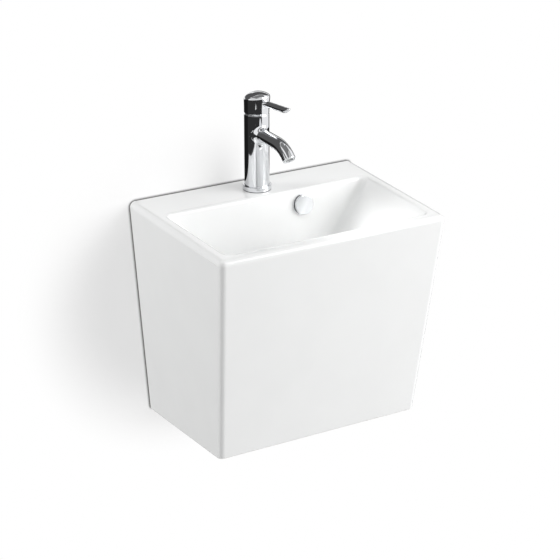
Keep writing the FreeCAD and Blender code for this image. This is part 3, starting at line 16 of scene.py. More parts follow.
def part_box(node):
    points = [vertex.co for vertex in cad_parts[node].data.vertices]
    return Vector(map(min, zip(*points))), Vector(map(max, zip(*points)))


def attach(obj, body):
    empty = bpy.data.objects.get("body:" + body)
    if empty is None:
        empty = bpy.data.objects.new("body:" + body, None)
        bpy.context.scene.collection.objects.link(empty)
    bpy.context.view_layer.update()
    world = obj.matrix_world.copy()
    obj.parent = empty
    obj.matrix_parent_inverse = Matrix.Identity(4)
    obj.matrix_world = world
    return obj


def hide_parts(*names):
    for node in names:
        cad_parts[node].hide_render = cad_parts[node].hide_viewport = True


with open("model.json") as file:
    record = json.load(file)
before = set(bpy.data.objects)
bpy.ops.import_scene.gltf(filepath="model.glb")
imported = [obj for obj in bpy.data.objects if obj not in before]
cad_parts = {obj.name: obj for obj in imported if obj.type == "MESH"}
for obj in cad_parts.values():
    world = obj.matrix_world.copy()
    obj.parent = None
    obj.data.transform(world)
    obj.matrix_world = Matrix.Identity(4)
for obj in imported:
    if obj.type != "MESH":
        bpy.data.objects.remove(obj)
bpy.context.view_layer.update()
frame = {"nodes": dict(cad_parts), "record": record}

bl_info = {
    "name": "Wall hung basin",
    "version": (1, 0, 0),
    "blender": (4, 5, 0),
    "location": "View3D > Sidebar > Basin",
    "description": "Builds the glazed basin, its mixer, its waste and its trap round their packed frame",
    "category": "Object",
}

MM = 0.001


# ---- sizes that follow the solids, in millimetres

# Bowl: heights from the wall bolts, depths from the wall. Its back wall leans and holds the overflow.
RIM = 70.0
BOWL_BACK = -88.0
BACK_LEAN = 20.0
BACK_DEPTH = 115.0
OVERFLOW_SIDE = 68.0
OVERFLOW_DROP = 28.0
OVERFLOW_LEG_CIRCLE = 9.7

# Tap: heights over the deck, and lengths along the spout and the lever from the column's axis.
COLUMN_BORE = 17.7
FOOT_BORE = 18.5
FOOT_BORE_TOP = 60.0
VALVE_FLOOR = 108.0
COLUMN_TOP = 142.0
SEAT_HEIGHT = 128.0  # centre of the ball that the head tilts on
SEAT_GAP = 0.33
COLLAR_RADIUS = 25.2
COLLAR_TOP = 9.0
COLLAR_GAP = 0.04
DECK_SEAL = 1.0
SPOUT_HEIGHT = 104.5
SPOUT_START = 18.2  # clear of the column's bore
SPOUT_STRAIGHT = 72.0
SPOUT_BEND = 60.0
SPOUT_TURN = 45.0  # degrees
MOUTH_RADIUS = 9.8
MOUTH_DEPTH = 9.0
WAY_RADIUS = 8.3
WAY_START = 20.0
HEAD_FOOT = 141.0
HEAD_LIP = 1.2
HEAD_STRAIGHT_TOP = 150.0
HEAD_TAPER = 35.0
HEAD_TOP_RADIUS = 23.8
HEAD_TOP_FORWARD = 1.8
CAVITY_RADIUS = 24.53
CAVITY_MOUTH = 20.8
DOME_CENTRE = 142.4
DOME_RADIUS = 36.0
DOME_FORWARD = 4.5
LEVER_HEIGHT = 161.3
LEVER_START = 14.0
LEVER_TIP = 85.0
SCREW_COVER = (0, 22.15, 158.5)

# Fixings: lengths from the wall's face.
BOLT_RADIUS = 5.0
MACHINE_RADIUS = 4.75
BOLT_IN_ROOM = 28.5
BOLT_IN_WALL = 55.0
BOLT_NUT_FACE = 24.5
BOLT_WASHER_FACE = 16.5
STUD_REAR = 10.0
STUD_RADIUS = 4.0
STUD_LOW, STUD_HIGH = -60.0, 60.5

# Waste and trap: heights over the waste's rim.
WASTE_THREAD = 20.95
PLUG_DOME = 27.6
PLUG_TOP = 3.5
PLUG_CROWN = 1.3
TRAP_INLET_NUT = -54.0
TRAP_COLLAR_NUT = -120.0
TRAP_OUTLET = -144.0
TRAP_OUTLET_NUT = 38.0  # behind the drain's axis
TRAP_NUT_RADIUS = 26.0


def axis_point(node, end):
    """Point in metres on a node's upright axis: at its lowest level for end 0, at its highest for end 1."""
    corners = [np.array(corner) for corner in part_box(node)]
    point = (corners[0] + corners[1]) / 2
    point[2] = corners[end][2]
    return point


DRAIN = axis_point("waste_body", 1)
TAP = axis_point("tap_base_seal", 0)
BOLT_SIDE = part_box("wall_bolts")[1][0] - BOLT_RADIUS * MM


# ---- sizes and colours a user would change

COLOUR = {"subtype": "COLOR", "size": 3, "min": 0, "max": 1}


class GlazeSettings(bpy.types.PropertyGroup):
    """Looks of the ceramic"""

    colour: FloatVectorProperty(
        name="Glaze colour", description="Colour of the white glaze", default=(0.86, 0.865, 0.862), **COLOUR
    )
    biscuit: FloatVectorProperty(
        name="Biscuit colour", description="Colour of unglazed ceramic", default=(0.74, 0.69, 0.62), **COLOUR
    )
    roughness: FloatProperty(
        name="Glaze roughness", description="How far the glaze blurs reflections", default=0.07, min=0, max=1
    )
    ripple: FloatProperty(
        name="Glaze ripple", description="Height of its slow waves", default=0.00022, min=0, unit="LENGTH"
    )


class TapSettings(bpy.types.PropertyGroup):
    """Sizes and colour of the tap"""

    column_radius: FloatProperty(
        name="Column radius", description="Radius of the tap's column", default=0.022, unit="LENGTH"
    )
    spout_radius: FloatProperty(
        name="Spout radius", description="Radius of the spout's tube", default=0.0115, unit="LENGTH"
    )
    root_round: FloatProperty(
        name="Spout root round", description="Radius of the flare at its root", default=0.007, unit="LENGTH"
    )
    lever_radius: FloatProperty(
        name="Lever radius", description="Radius of the pin lever", default=0.0053, unit="LENGTH"
    )
    rest_turn: FloatProperty(
        name="Rest turn", description="Turn of the handle at rest", default=math.radians(12), subtype="ANGLE"
    )
    chrome: FloatVectorProperty(
        name="Chrome colour", description="Colour of the chrome plate", default=(0.80, 0.81, 0.83), **COLOUR
    )


class DetailSettings(bpy.types.PropertyGroup):
    """Fineness of turned pieces, and threads"""

    round_steps: IntProperty(
        name="Round steps", description="Points round each turned piece", default=120, min=24, max=240
    )
    bolt_pitch: FloatProperty(
        name="Bolt pitch", description="Pitch of the M10 machine thread", default=0.0015, unit="LENGTH"
    )
    wood_pitch: FloatProperty(
        name="Wall pitch", description="Pitch of the coarse thread in the wall", default=0.0036, unit="LENGTH"
    )
    stud_pitch: FloatProperty(
        name="Stud pitch", description="Pitch of the tap's M8 stud", default=0.00125, unit="LENGTH"
    )


class StageSettings(bpy.types.PropertyGroup):
    """Lamps, room light and floor"""

    key_power: FloatProperty(
        name="Key light", description="Power of the large lamp on the right", default=84.0, unit="POWER"
    )
    fill_power: FloatProperty(
        name="Fill light", description="Power of the lamp on the left", default=52.0, unit="POWER"
    )
    top_power: FloatProperty(
        name="Top light", description="Power of the lamp overhead", default=4.0, unit="POWER"
    )
    bowl_power: FloatProperty(
        name="Bowl light", description="Power of the narrow lamp over the bowl", default=0.075, unit="POWER"
    )
    room: FloatProperty(name="Room light", description="Strength of the even light", default=0.44, min=0)
    floor_drop: FloatProperty(
        name="Floor drop", description="How far the floor lies under the bolts", default=1.25, unit="LENGTH"
    )


# ---- surfaces


LARGEST_SETBACK = 0.38  # of a corner, as a share of its shorter side
CORNER_POINTS = 8  # made of one corner by softened with its usual 5 steps


def softened(outline, size, steps=5):
    """Closed outline with every corner P turned into the parabola (1-t)^2 A + 2t(1-t) P + t^2 C.

    A and C lie on the two sides of the corner at the corner's size from P, or at 38% of the shorter side.
    A guard point follows on each flat, a quarter of that further on, so that the flat keeps its own normal.
    """
    corner = np.asarray(outline, float)
    wanted = np.broadcast_to(np.asarray(size, float), len(corner))
    back = np.roll(corner, 1, 0) - corner
    ahead = np.roll(corner, -1, 0) - corner
    back_length = np.linalg.norm(back, axis=1)
    ahead_length = np.linalg.norm(ahead, axis=1)
    back = back / back_length[:, None]
    ahead = ahead / ahead_length[:, None]
    setback = np.minimum(wanted, LARGEST_SETBACK * np.minimum(back_length, ahead_length))[:, None]
    start = corner + back * setback
    finish = corner + ahead * setback
    t = np.linspace(0, 1, steps + 1)[None, :, None]
    arc = (1 - t) ** 2 * start[:, None] + 2 * t * (1 - t) * corner[:, None] + t**2 * finish[:, None]
    rows = [(start + back * setback / 4)[:, None], arc, (finish + ahead * setback / 4)[:, None]]
    return np.concatenate(rows, axis=1).reshape(-1, 2)


def turn_matrix(about, angle):
    """3 by 3 turn by an angle about x, y or z."""
    return np.array(Matrix.Rotation(angle, 3, about))


def placed(name, data):
    """New object in the scene."""
    made = bpy.data.objects.new(name, data)
    bpy.context.scene.collection.objects.link(made)
    return made


def skin(name, points, finish, stands_for=(), body="basin", loop_v=True, sharp=None):
    """Mesh over a grid of points, a closed ring in its first direction, with coincident points merged.

    Merging closes the seams and poles, and the normals are then turned outwards.
    """
    rows, columns = points.shape[:2]
    row = np.arange(rows)[:, None] * columns
    next_row = (row + columns) % (rows * columns)
    v = np.arange(columns if loop_v else columns - 1)[None, :]
    next_v = (v + 1) % columns
    quads = np.stack([row + v, next_row + v, next_row + next_v, row + next_v], -1)
    mesh = bpy.data.meshes.new(name)
    mesh.from_pydata(points.reshape(-1, 3), [], quads.reshape(-1, 4))
    work = bmesh.new()
    work.from_mesh(mesh)
    bmesh.ops.remove_doubles(work, verts=work.verts, dist=2e-6)
    bmesh.ops.dissolve_degenerate(work, dist=1e-7, edges=work.edges)
    bmesh.ops.recalc_face_normals(work, faces=work.faces)
    work.to_mesh(mesh)
    work.free()
    mesh.shade_smooth()
    if sharp:
        mesh.set_sharp_from_angle(angle=math.radians(sharp))
    piece = placed(name, mesh)
    mesh.materials.append(bpy.data.materials[finish])
    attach(piece, body)
    if stands_for:
        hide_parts(*stands_for)
    return piece


def revolved(outline, steps, at, turn=None, shape=None):
    """Points (r cos a, r sin a, h) of a closed outline of (r, h) in millimetres, for a all the way round.

    A shape changes each radius by its angle: r' = shape(a, r, h). The whole is then turned and moved.
    """
    angle = np.linspace(0, 2 * math.pi, steps, endpoint=False)[:, None]
    radius = np.broadcast_to(outline[None, :, 0], (steps, len(outline)))
    height = np.broadcast_to(outline[None, :, 1], (steps, len(outline)))
    if shape:
        radius = shape(np.broadcast_to(angle, radius.shape), radius, height)
    points = np.stack([radius * np.cos(angle), radius * np.sin(angle), height], -1) * MM
    if turn is not None:
        points = points @ turn.T
    return points + at


def hexagonal(across_flats, bore):
    """Radius rule that keeps the bore and trims the rest to a hexagon of half width w.

    r' = min(r, w / cos(a mod 60 - 30)), with the angle in degrees.
    """

    def limit(angle, radius, height):
        local = np.mod(angle, math.pi / 3) - math.pi / 6
        return np.where(radius > bore + 0.5, np.minimum(radius, across_flats / 2 / np.cos(local)), radius)

    return limit


def ribbed(outer, count, height_of_rib):
    """Radius rule for a grip: r' = r + rib * max(0, cos(count a))^3 on the outside only."""

    def swell(angle, radius, height):
        rib = height_of_rib * np.maximum(0, np.cos(count * angle)) ** 3
        return np.where(radius > outer - 1.5, radius + rib, radius)

    return swell


def threaded(radius, depth, pitch, low, high, steps, taper=0.0, rows_per_turn=10):
    """Threaded rod along +z, from sizes in millimetres: r(a, h) = R(h) - depth * (1 - crest).

    The crest is min(1, 1.6 - 1.6 |2 frac(h / pitch - a / 2pi) - 1|). R(h) falls to a point over the taper at
    the high end, where the thread gets shallow too, and the thread fades out over one pitch at both ends.
    """
    steepness, shallowest, thinnest = 1.6, 0.3, 0.12
    rows = int((high - low) / pitch * rows_per_turn)
    height = np.linspace(low, high, rows)[None, :]
    angle = np.linspace(0, 2 * math.pi, steps, endpoint=False)[:, None]
    phase = np.mod(height / pitch - angle / (2 * math.pi), 1)
    ridge = 1 - np.abs(2 * phase - 1)
    fade = np.clip(np.minimum(height - low, high - height) / pitch, 0, 1)
    outer = radius * np.ones_like(height)
    if taper:
        outer = radius * np.clip((high - height) / taper, 0.04, 1) ** 0.8
    crest = np.clip(ridge * steepness, 0, 1) * fade
    reach = np.maximum(outer - depth * (1 - crest) * np.clip(outer / radius, shallowest, 1), thinnest)
    level = np.broadcast_to(height, reach.shape)
    points = np.stack([reach * np.cos(angle), reach * np.sin(angle), level], -1)
    first = np.zeros_like(points[:, :1]) + [0, 0, low]
    last = np.zeros_like(points[:, :1]) + [0, 0, high]
    return np.concatenate([first, points, last], axis=1) * MM


def spout_line(length, straight, bend):
    """Centre and up direction of the spout at each length along it, in millimetres from the tap's axis.

    Level for the straight, then an arc: (forward, height) = (straight + bend sin b, -bend (1 - cos b)).
    """
    angle = np.clip((length - straight) / bend, 0, None)
    forward = np.minimum(length, straight) + bend * np.sin(angle)
    down = bend * (1 - np.cos(angle))
    zero = np.zeros_like(angle)
    centre = np.stack([zero, -forward, -down], -1)
    up = np.stack([zero, -np.sin(angle), np.cos(angle)], -1)
    return centre, up


# ---- finishes


def add_node(tree, kind, settings=None, **inputs):
    """New shader node with its settings, and its inputs set or linked by name, or by number as i0, i1, ..."""
    made = tree.nodes.new("ShaderNode" + kind)
    for key, value in (settings or {}).items():
        setattr(made, key, value)
    for key, value in inputs.items():
        socket = made.inputs[int(key[1:]) if key[0] == "i" and key[1:].isdigit() else key.replace("_", " ")]
        if isinstance(value, bpy.types.NodeSocket):
            tree.links.new(value, socket)
        else:
            socket.default_value = value
    return made


def darker(colour, share):
    """A share of a colour."""
    return tuple(channel * share for channel in colour)


class Finish:
    """A procedural material, built node by node."""

    def __init__(self, name, colour, roughness, metallic=0.0):
        self.material = bpy.data.materials.new(name)
        self.material.use_nodes = True
        self.tree = self.material.node_tree
        self.shader = self.tree.nodes["Principled BSDF"]
        self.shader.inputs["Base Color"].default_value = (*colour, 1)
        self.shader.inputs["Roughness"].default_value = roughness
        self.shader.inputs["Metallic"].default_value = metallic
        self.material.diffuse_color = (*colour, 1)
        self.place = self.node("TexCoord").outputs["Object"]

    def node(self, kind, settings=None, **inputs):
        """New node in this material."""
        return add_node(self.tree, kind, settings, **inputs)

    def stretched(self, scale):
        """Object coordinates with each axis scaled."""
        return self.node("Mapping", Vector=self.place, Scale=scale).outputs["Vector"]

    def noise(self, scale, detail=3.0, roughness=0.5, where=None):
        """Noise at so many features to the metre."""
        place = where or self.place
        made = self.node("TexNoise", Vector=place, Scale=scale, Detail=detail, Roughness=roughness)
        return made.outputs["Fac"]

    def maths(self, operation, first, second=0.0, third=0.0, clamp=False):
        """One step of arithmetic."""
        made = self.node("Math", {"operation": operation, "use_clamp": clamp}, i0=first, i1=second, i2=third)
        return made.outputs[0]

    def spread(self, value, low, high, to_low, to_high):
        """A value carried from one range to another."""
        limits = {"From_Min": low, "From_Max": high, "To_Min": to_low, "To_Max": to_high}
        return self.node("MapRange", {"clamp": True}, Value=value, **limits).outputs[0]

    def mixed(self, share, first, second):
        """Two colours mixed by a share."""
        made = self.node("Mix", {"data_type": "RGBA"}, i0=share)
        for index, value in ((6, first), (7, second)):
            if isinstance(value, bpy.types.NodeSocket):
                self.tree.links.new(value, made.inputs[index])
            else:
                made.inputs[index].default_value = (*value, 1)
        return made.outputs[2]

    def bumps(self, layers):
        """Bump layers of (height, depth in metres), one on the other."""
        normal = None
        for height, depth in layers:
            made = self.node("Bump", Height=height, Distance=depth, Strength=1.0)
            if normal:
                self.tree.links.new(normal, made.inputs["Normal"])
            normal = made.outputs["Normal"]
        self.tree.links.new(normal, self.shader.inputs["Normal"])

    def link(self, value, socket):
        """A value led into one of the shader's sockets."""
        self.tree.links.new(value, self.shader.inputs[socket])

    def tone(self, value, low, high, first, second):
        """Base colour that goes from the first to the second as a value goes from low to high."""
        self.link(self.mixed(self.spread(value, low, high, 0, 1), first, second), "Base Color")

    def blur(self, value, low, high, first, second):
        """Roughness that goes from the first to the second as a value goes from low to high."""
        self.link(self.spread(value, low, high, first, second), "Roughness")

    def set(self, socket, value):
        """A plain value for one of the shader's sockets."""
        self.shader.inputs[socket].default_value = value


SLOT_OF = {
    "white_glaze": "glaze",
    "bright_chrome": "chrome",
    "turned_brass": "brass",
    "zinc_steel": "steel",
    "black_rubber": "rubber",
    "white_moulding": "trap_plastic",
    "grey_moulding": "fitting_plastic",
    "lapped_ceramic": "disc_ceramic",
}


def make_glaze(settings):
    """Thick white glaze with slow ripples and faint pooling, and bare biscuit on the wall face and the foot.

    The foot is the slanting plane z + foot_slope y + foot_drop = 0.
    """
    foot_slope, foot_drop = 22 / 269, 0.337
    f = Finish("white_glaze", settings.colour, settings.roughness)
    f.set("IOR", 1.52)
    axes = f.node("SeparateXYZ", Vector=f.place).outputs
    wall_side = f.spread(axes["Y"], -0.0009, -0.0003, 0, 1)
    above_foot = f.maths("ADD", axes["Z"], f.maths("MULTIPLY_ADD", axes["Y"], foot_slope, foot_drop))
    uneven = f.maths("MULTIPLY", f.noise(420, 2), 0.0016)
    foot = f.spread(f.maths("SUBTRACT", above_foot, uneven), -0.0002, 0.0006, 1, 0)
    bare = f.maths("MAXIMUM", wall_side, foot, clamp=True)
    pooling = f.spread(f.noise(14, 4), 0.35, 0.7, 0, 1)
    white = f.mixed(pooling, tuple(settings.colour), darker(settings.colour, 0.982))
    grain = f.noise(900, 3, 0.7)
    biscuit = f.mixed(grain, tuple(settings.biscuit), darker(settings.biscuit, 0.86))
    f.link(f.mixed(bare, white, biscuit), "Base Color")
    gloss = f.spread(f.noise(30, 3), 0.3, 0.7, settings.roughness * 0.8, settings.roughness * 1.3)
    f.link(f.maths("MULTIPLY_ADD", bare, 0.7, gloss, clamp=True), "Roughness")
    ripple = f.noise(11, 2, 0.4)
    peel = f.noise(160, 2, 0.5)
    rough_grain = f.maths("MULTIPLY", grain, bare)
    f.bumps([(ripple, settings.ripple), (peel, 0.000006), (rough_grain, 0.00012)])


def make_chrome(settings):
    """Bright plate: faint haze and the finest wiping marks in an otherwise clean mirror."""
    f = Finish("bright_chrome", settings.chrome, 0.045, 1.0)
    haze = f.noise(70, 4)
    wiping = f.noise(300, 5, 0.65, f.stretched((1, 1, 0.12)))
    blurred = f.spread(haze, 0.3, 0.7, 0.02, 0.05)
    f.link(f.maths("ADD", blurred, f.maths("MULTIPLY", wiping, 0.035)), "Roughness")
    f.tone(haze, 0.3, 0.75, tuple(settings.chrome), darker(settings.chrome, 0.965))
    f.bumps([(f.noise(25, 1), 0.000004), (wiping, 0.0000002)])


def make_brass():
    """Turned brass with its turning lines and some tarnish."""
    f = Finish("turned_brass", (0.72, 0.53, 0.24), 0.3, 1.0)
    lines = f.noise(260, 4, 0.6, f.stretched((1, 1, 9)))
    tarnish = f.noise(45, 4, 0.6)
    f.tone(tarnish, 0.35, 0.75, (0.76, 0.57, 0.27), (0.56, 0.39, 0.17))
    f.blur(lines, 0.3, 0.7, 0.22, 0.42)
    f.bumps([(lines, 0.00002), (tarnish, 0.00003)])


def make_zinc():
    """Zinc plated steel with a faint spangle."""
    f = Finish("zinc_steel", (0.6, 0.61, 0.63), 0.32, 1.0)
    spangle = f.noise(190, 3, 0.6)
    f.tone(f.noise(38, 5, 0.6), 0.3, 0.75, (0.66, 0.68, 0.7), (0.5, 0.5, 0.49))
    f.blur(spangle, 0.25, 0.75, 0.24, 0.44)
    f.bumps([(spangle, 0.00002)])


def make_rubber():
    """Black rubber."""
    f = Finish("black_rubber", (0.022, 0.022, 0.024), 0.62)
    f.tone(f.noise(60, 5, 0.6), 0.4, 0.8, (0.02, 0.02, 0.022), (0.05, 0.05, 0.052))
    f.blur(f.noise(500, 2), 0.3, 0.7, 0.5, 0.72)
    f.bumps([(f.noise(900, 2), 0.00004)])


def make_white_moulding():
    """White plastic of the trap."""
    f = Finish("white_moulding", (0.80, 0.805, 0.80), 0.26)
    f.set("IOR", 1.49)
    f.tone(f.noise(14, 1), 0.3, 0.75, (0.81, 0.815, 0.81), (0.79, 0.79, 0.78))
    f.blur(f.noise(40, 1), 0.3, 0.7, 0.22, 0.3)
    f.bumps([(f.noise(30, 1), 0.00002)])


def make_grey_moulding():
    """Pale grey plastic of the fittings."""
    f = Finish("grey_moulding", (0.55, 0.56, 0.57), 0.42)
    f.tone(f.noise(50, 3), 0.3, 0.75, (0.57, 0.58, 0.59), (0.5, 0.51, 0.51))
    f.blur(f.noise(600, 2), 0.3, 0.7, 0.36, 0.52)
    f.bumps([(f.noise(1400, 2), 0.00002)])


def make_lapped_ceramic():
    """Finely ground ceramic of the tap's discs."""
    f = Finish("lapped_ceramic", (0.80, 0.78, 0.72), 0.2)
    f.link(f.mixed(f.noise(700, 2), (0.82, 0.80, 0.75), (0.74, 0.72, 0.66)), "Base Color")
    f.blur(f.noise(90, 3), 0.3, 0.7, 0.12, 0.28)
    f.bumps([(f.noise(1500, 2), 0.000006)])


# ---- operators


class BASIN_OT_finishes(bpy.types.Operator):
    """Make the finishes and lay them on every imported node"""

    bl_idname = "basin.finishes"
    bl_label = "Finishes"

    def execute(self, context):
        make_glaze(context.scene.basin_glaze)
        make_chrome(context.scene.basin_tap)
        make_brass()
        make_zinc()
        make_rubber()
        make_white_moulding()
        make_grey_moulding()
        make_lapped_ceramic()
        finish_of = {slot: finish for finish, slot in SLOT_OF.items()}
        for part in frame["record"]["subparts"]:
            mesh = frame["nodes"][part["node"]].data
            mesh.materials.clear()
            mesh.materials.append(bpy.data.materials[finish_of[part["material_slot"]]])
        return {"FINISHED"}


class BASIN_OT_tap_body(bpy.types.Operator):
    """Build the tap's column, its spout with a flared root, and the collar at its foot"""

    bl_idname = "basin.tap_body"
    bl_label = "Tap body"

    def column(self, radius, steps):
        """Turned column: bore, foot, straight side, and on top the ball (r, h) = (R sin s, 128 + R cos s)."""
        guard = 0.4  # from a sharp corner to the point that keeps the next face flat
        seat = np.hypot(radius - HEAD_LIP, HEAD_FOOT - SEAT_HEIGHT) - SEAT_GAP
        mouth = math.sqrt(seat**2 - (COLUMN_TOP - SEAT_HEIGHT) ** 2)
        slope = np.linspace(math.asin(radius / seat), math.asin(mouth / seat), 14)
        ball = np.stack([seat * np.sin(slope), SEAT_HEIGHT + seat * np.cos(slope)], -1)
        side = [[radius, ball[0, 1] - below] for below in (40, 0.6, 0.1)]
        corners = [[FOOT_BORE, 58], [FOOT_BORE, DECK_SEAL], [radius, DECK_SEAL], [radius, 60]]
        foot = softened(corners, [0, 0.4, 0.5, 0])[CORNER_POINTS:-CORNER_POINTS]
        inside = [[0, FOOT_BORE_TOP], [FOOT_BORE, FOOT_BORE_TOP], [FOOT_BORE, FOOT_BORE_TOP - guard]]
        bore_heights = (COLUMN_TOP, COLUMN_TOP - guard, VALVE_FLOOR + guard, VALVE_FLOOR)
        bore = [[COLUMN_BORE, height] for height in bore_heights] + [[0, VALVE_FLOOR]]
        points = revolved(np.concatenate([inside, foot, side, ball, bore]), steps, TAP)
        skin("tap_column", points, "bright_chrome", loop_v=False, sharp=18)

    def spout(self, tube):
        """Outline of (s, r) swept along the spout's line: p = centre(s) + r (cos a side + sin a up(s))."""
        end = SPOUT_STRAIGHT + SPOUT_BEND * math.radians(SPOUT_TURN)
        inside = end - MOUTH_DEPTH
        corners = [[SPOUT_START, tube], [end, tube], [end, MOUTH_RADIUS], [inside, MOUTH_RADIUS]]
        corners += [[inside, WAY_RADIUS], [WAY_START, WAY_RADIUS], [WAY_START, 0], [SPOUT_START, 0]]
        rim = softened(corners, [0, 1.7, 0.6, 0.2, 0.2, 0, 0, 0])[CORNER_POINTS : 5 * CORNER_POINTS]
        outer = np.linspace(SPOUT_START, end, 60)[:-6]
        inner = np.linspace(inside, WAY_START, 40)[1:]
        wall = np.stack([outer, np.full_like(outer, tube)], -1)
        way = np.stack([inner, np.full_like(inner, WAY_RADIUS)], -1)
        outline = np.concatenate([wall, rim, way, [[WAY_START, 0.0], [SPOUT_START, 0.0]]])
        angle = np.linspace(0, 2 * math.pi, 96, endpoint=False)[:, None, None]
        centre, up = spout_line(outline[:, 0], SPOUT_STRAIGHT, SPOUT_BEND)
        side = np.array([1.0, 0, 0])
        points = centre + outline[:, 1, None] * (np.cos(angle) * side + np.sin(angle) * up)
        points = points * MM + TAP + np.array([0, 0, SPOUT_HEIGHT * MM])
        skin("tap_spout", points, "bright_chrome", sharp=50)

    def root(self, radius, tube, flare, steps):
        """Flare at the spout's root, laid round the tube on the column.

        Its lift is F - sqrt(F^2 - (F - run)^2), where run is the way outwards from the tube. The ring's last
        three points lie inside the metal.
        """
        run = np.linspace(0, 1, 15) ** 1.6 * flare
        lift = flare - np.sqrt(np.maximum(flare**2 - (flare - run) ** 2, 0))
        ring = np.concatenate([np.stack([run, lift], -1), [[flare, -2.5], [-2.0, -2.5], [-2.0, flare]]])
        angle = np.linspace(0, 2 * math.pi, steps, endpoint=False)[:, None]
        across = (tube + ring[:, 0]) * np.cos(angle)
        tall = (tube + ring[:, 0]) * np.sin(angle)
        out = np.sqrt(np.maximum(radius**2 - across**2, 0)) + ring[:, 1]
        points = np.stack([across, -out, tall + SPOUT_HEIGHT], -1) * MM + TAP
        return skin("tap_spout_root", points, "bright_chrome", sharp=50)

    def collar(self, radius, steps):
        """Ring round the column's foot."""
        inner, outer = radius + COLLAR_GAP, COLLAR_RADIUS
        corners = [[inner, DECK_SEAL], [outer, DECK_SEAL], [outer, COLLAR_TOP], [inner, COLLAR_TOP]]
        points = revolved(softened(corners, [0.1, 0.5, 1.3, 0.5], 7), steps, TAP)
        skin("tap_collar", points, "bright_chrome", ("tap_base_ring",))

    def execute(self, context):
        tap = context.scene.basin_tap
        steps = context.scene.basin_detail.round_steps
        radius = tap.column_radius / MM
        tube = tap.spout_radius / MM
        self.column(radius, steps)
        self.spout(tube)
        root_piece = self.root(radius, tube, tap.root_round / MM, steps)
        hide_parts("tap_body")
        self.collar(radius, steps)
        return {"FINISHED"}


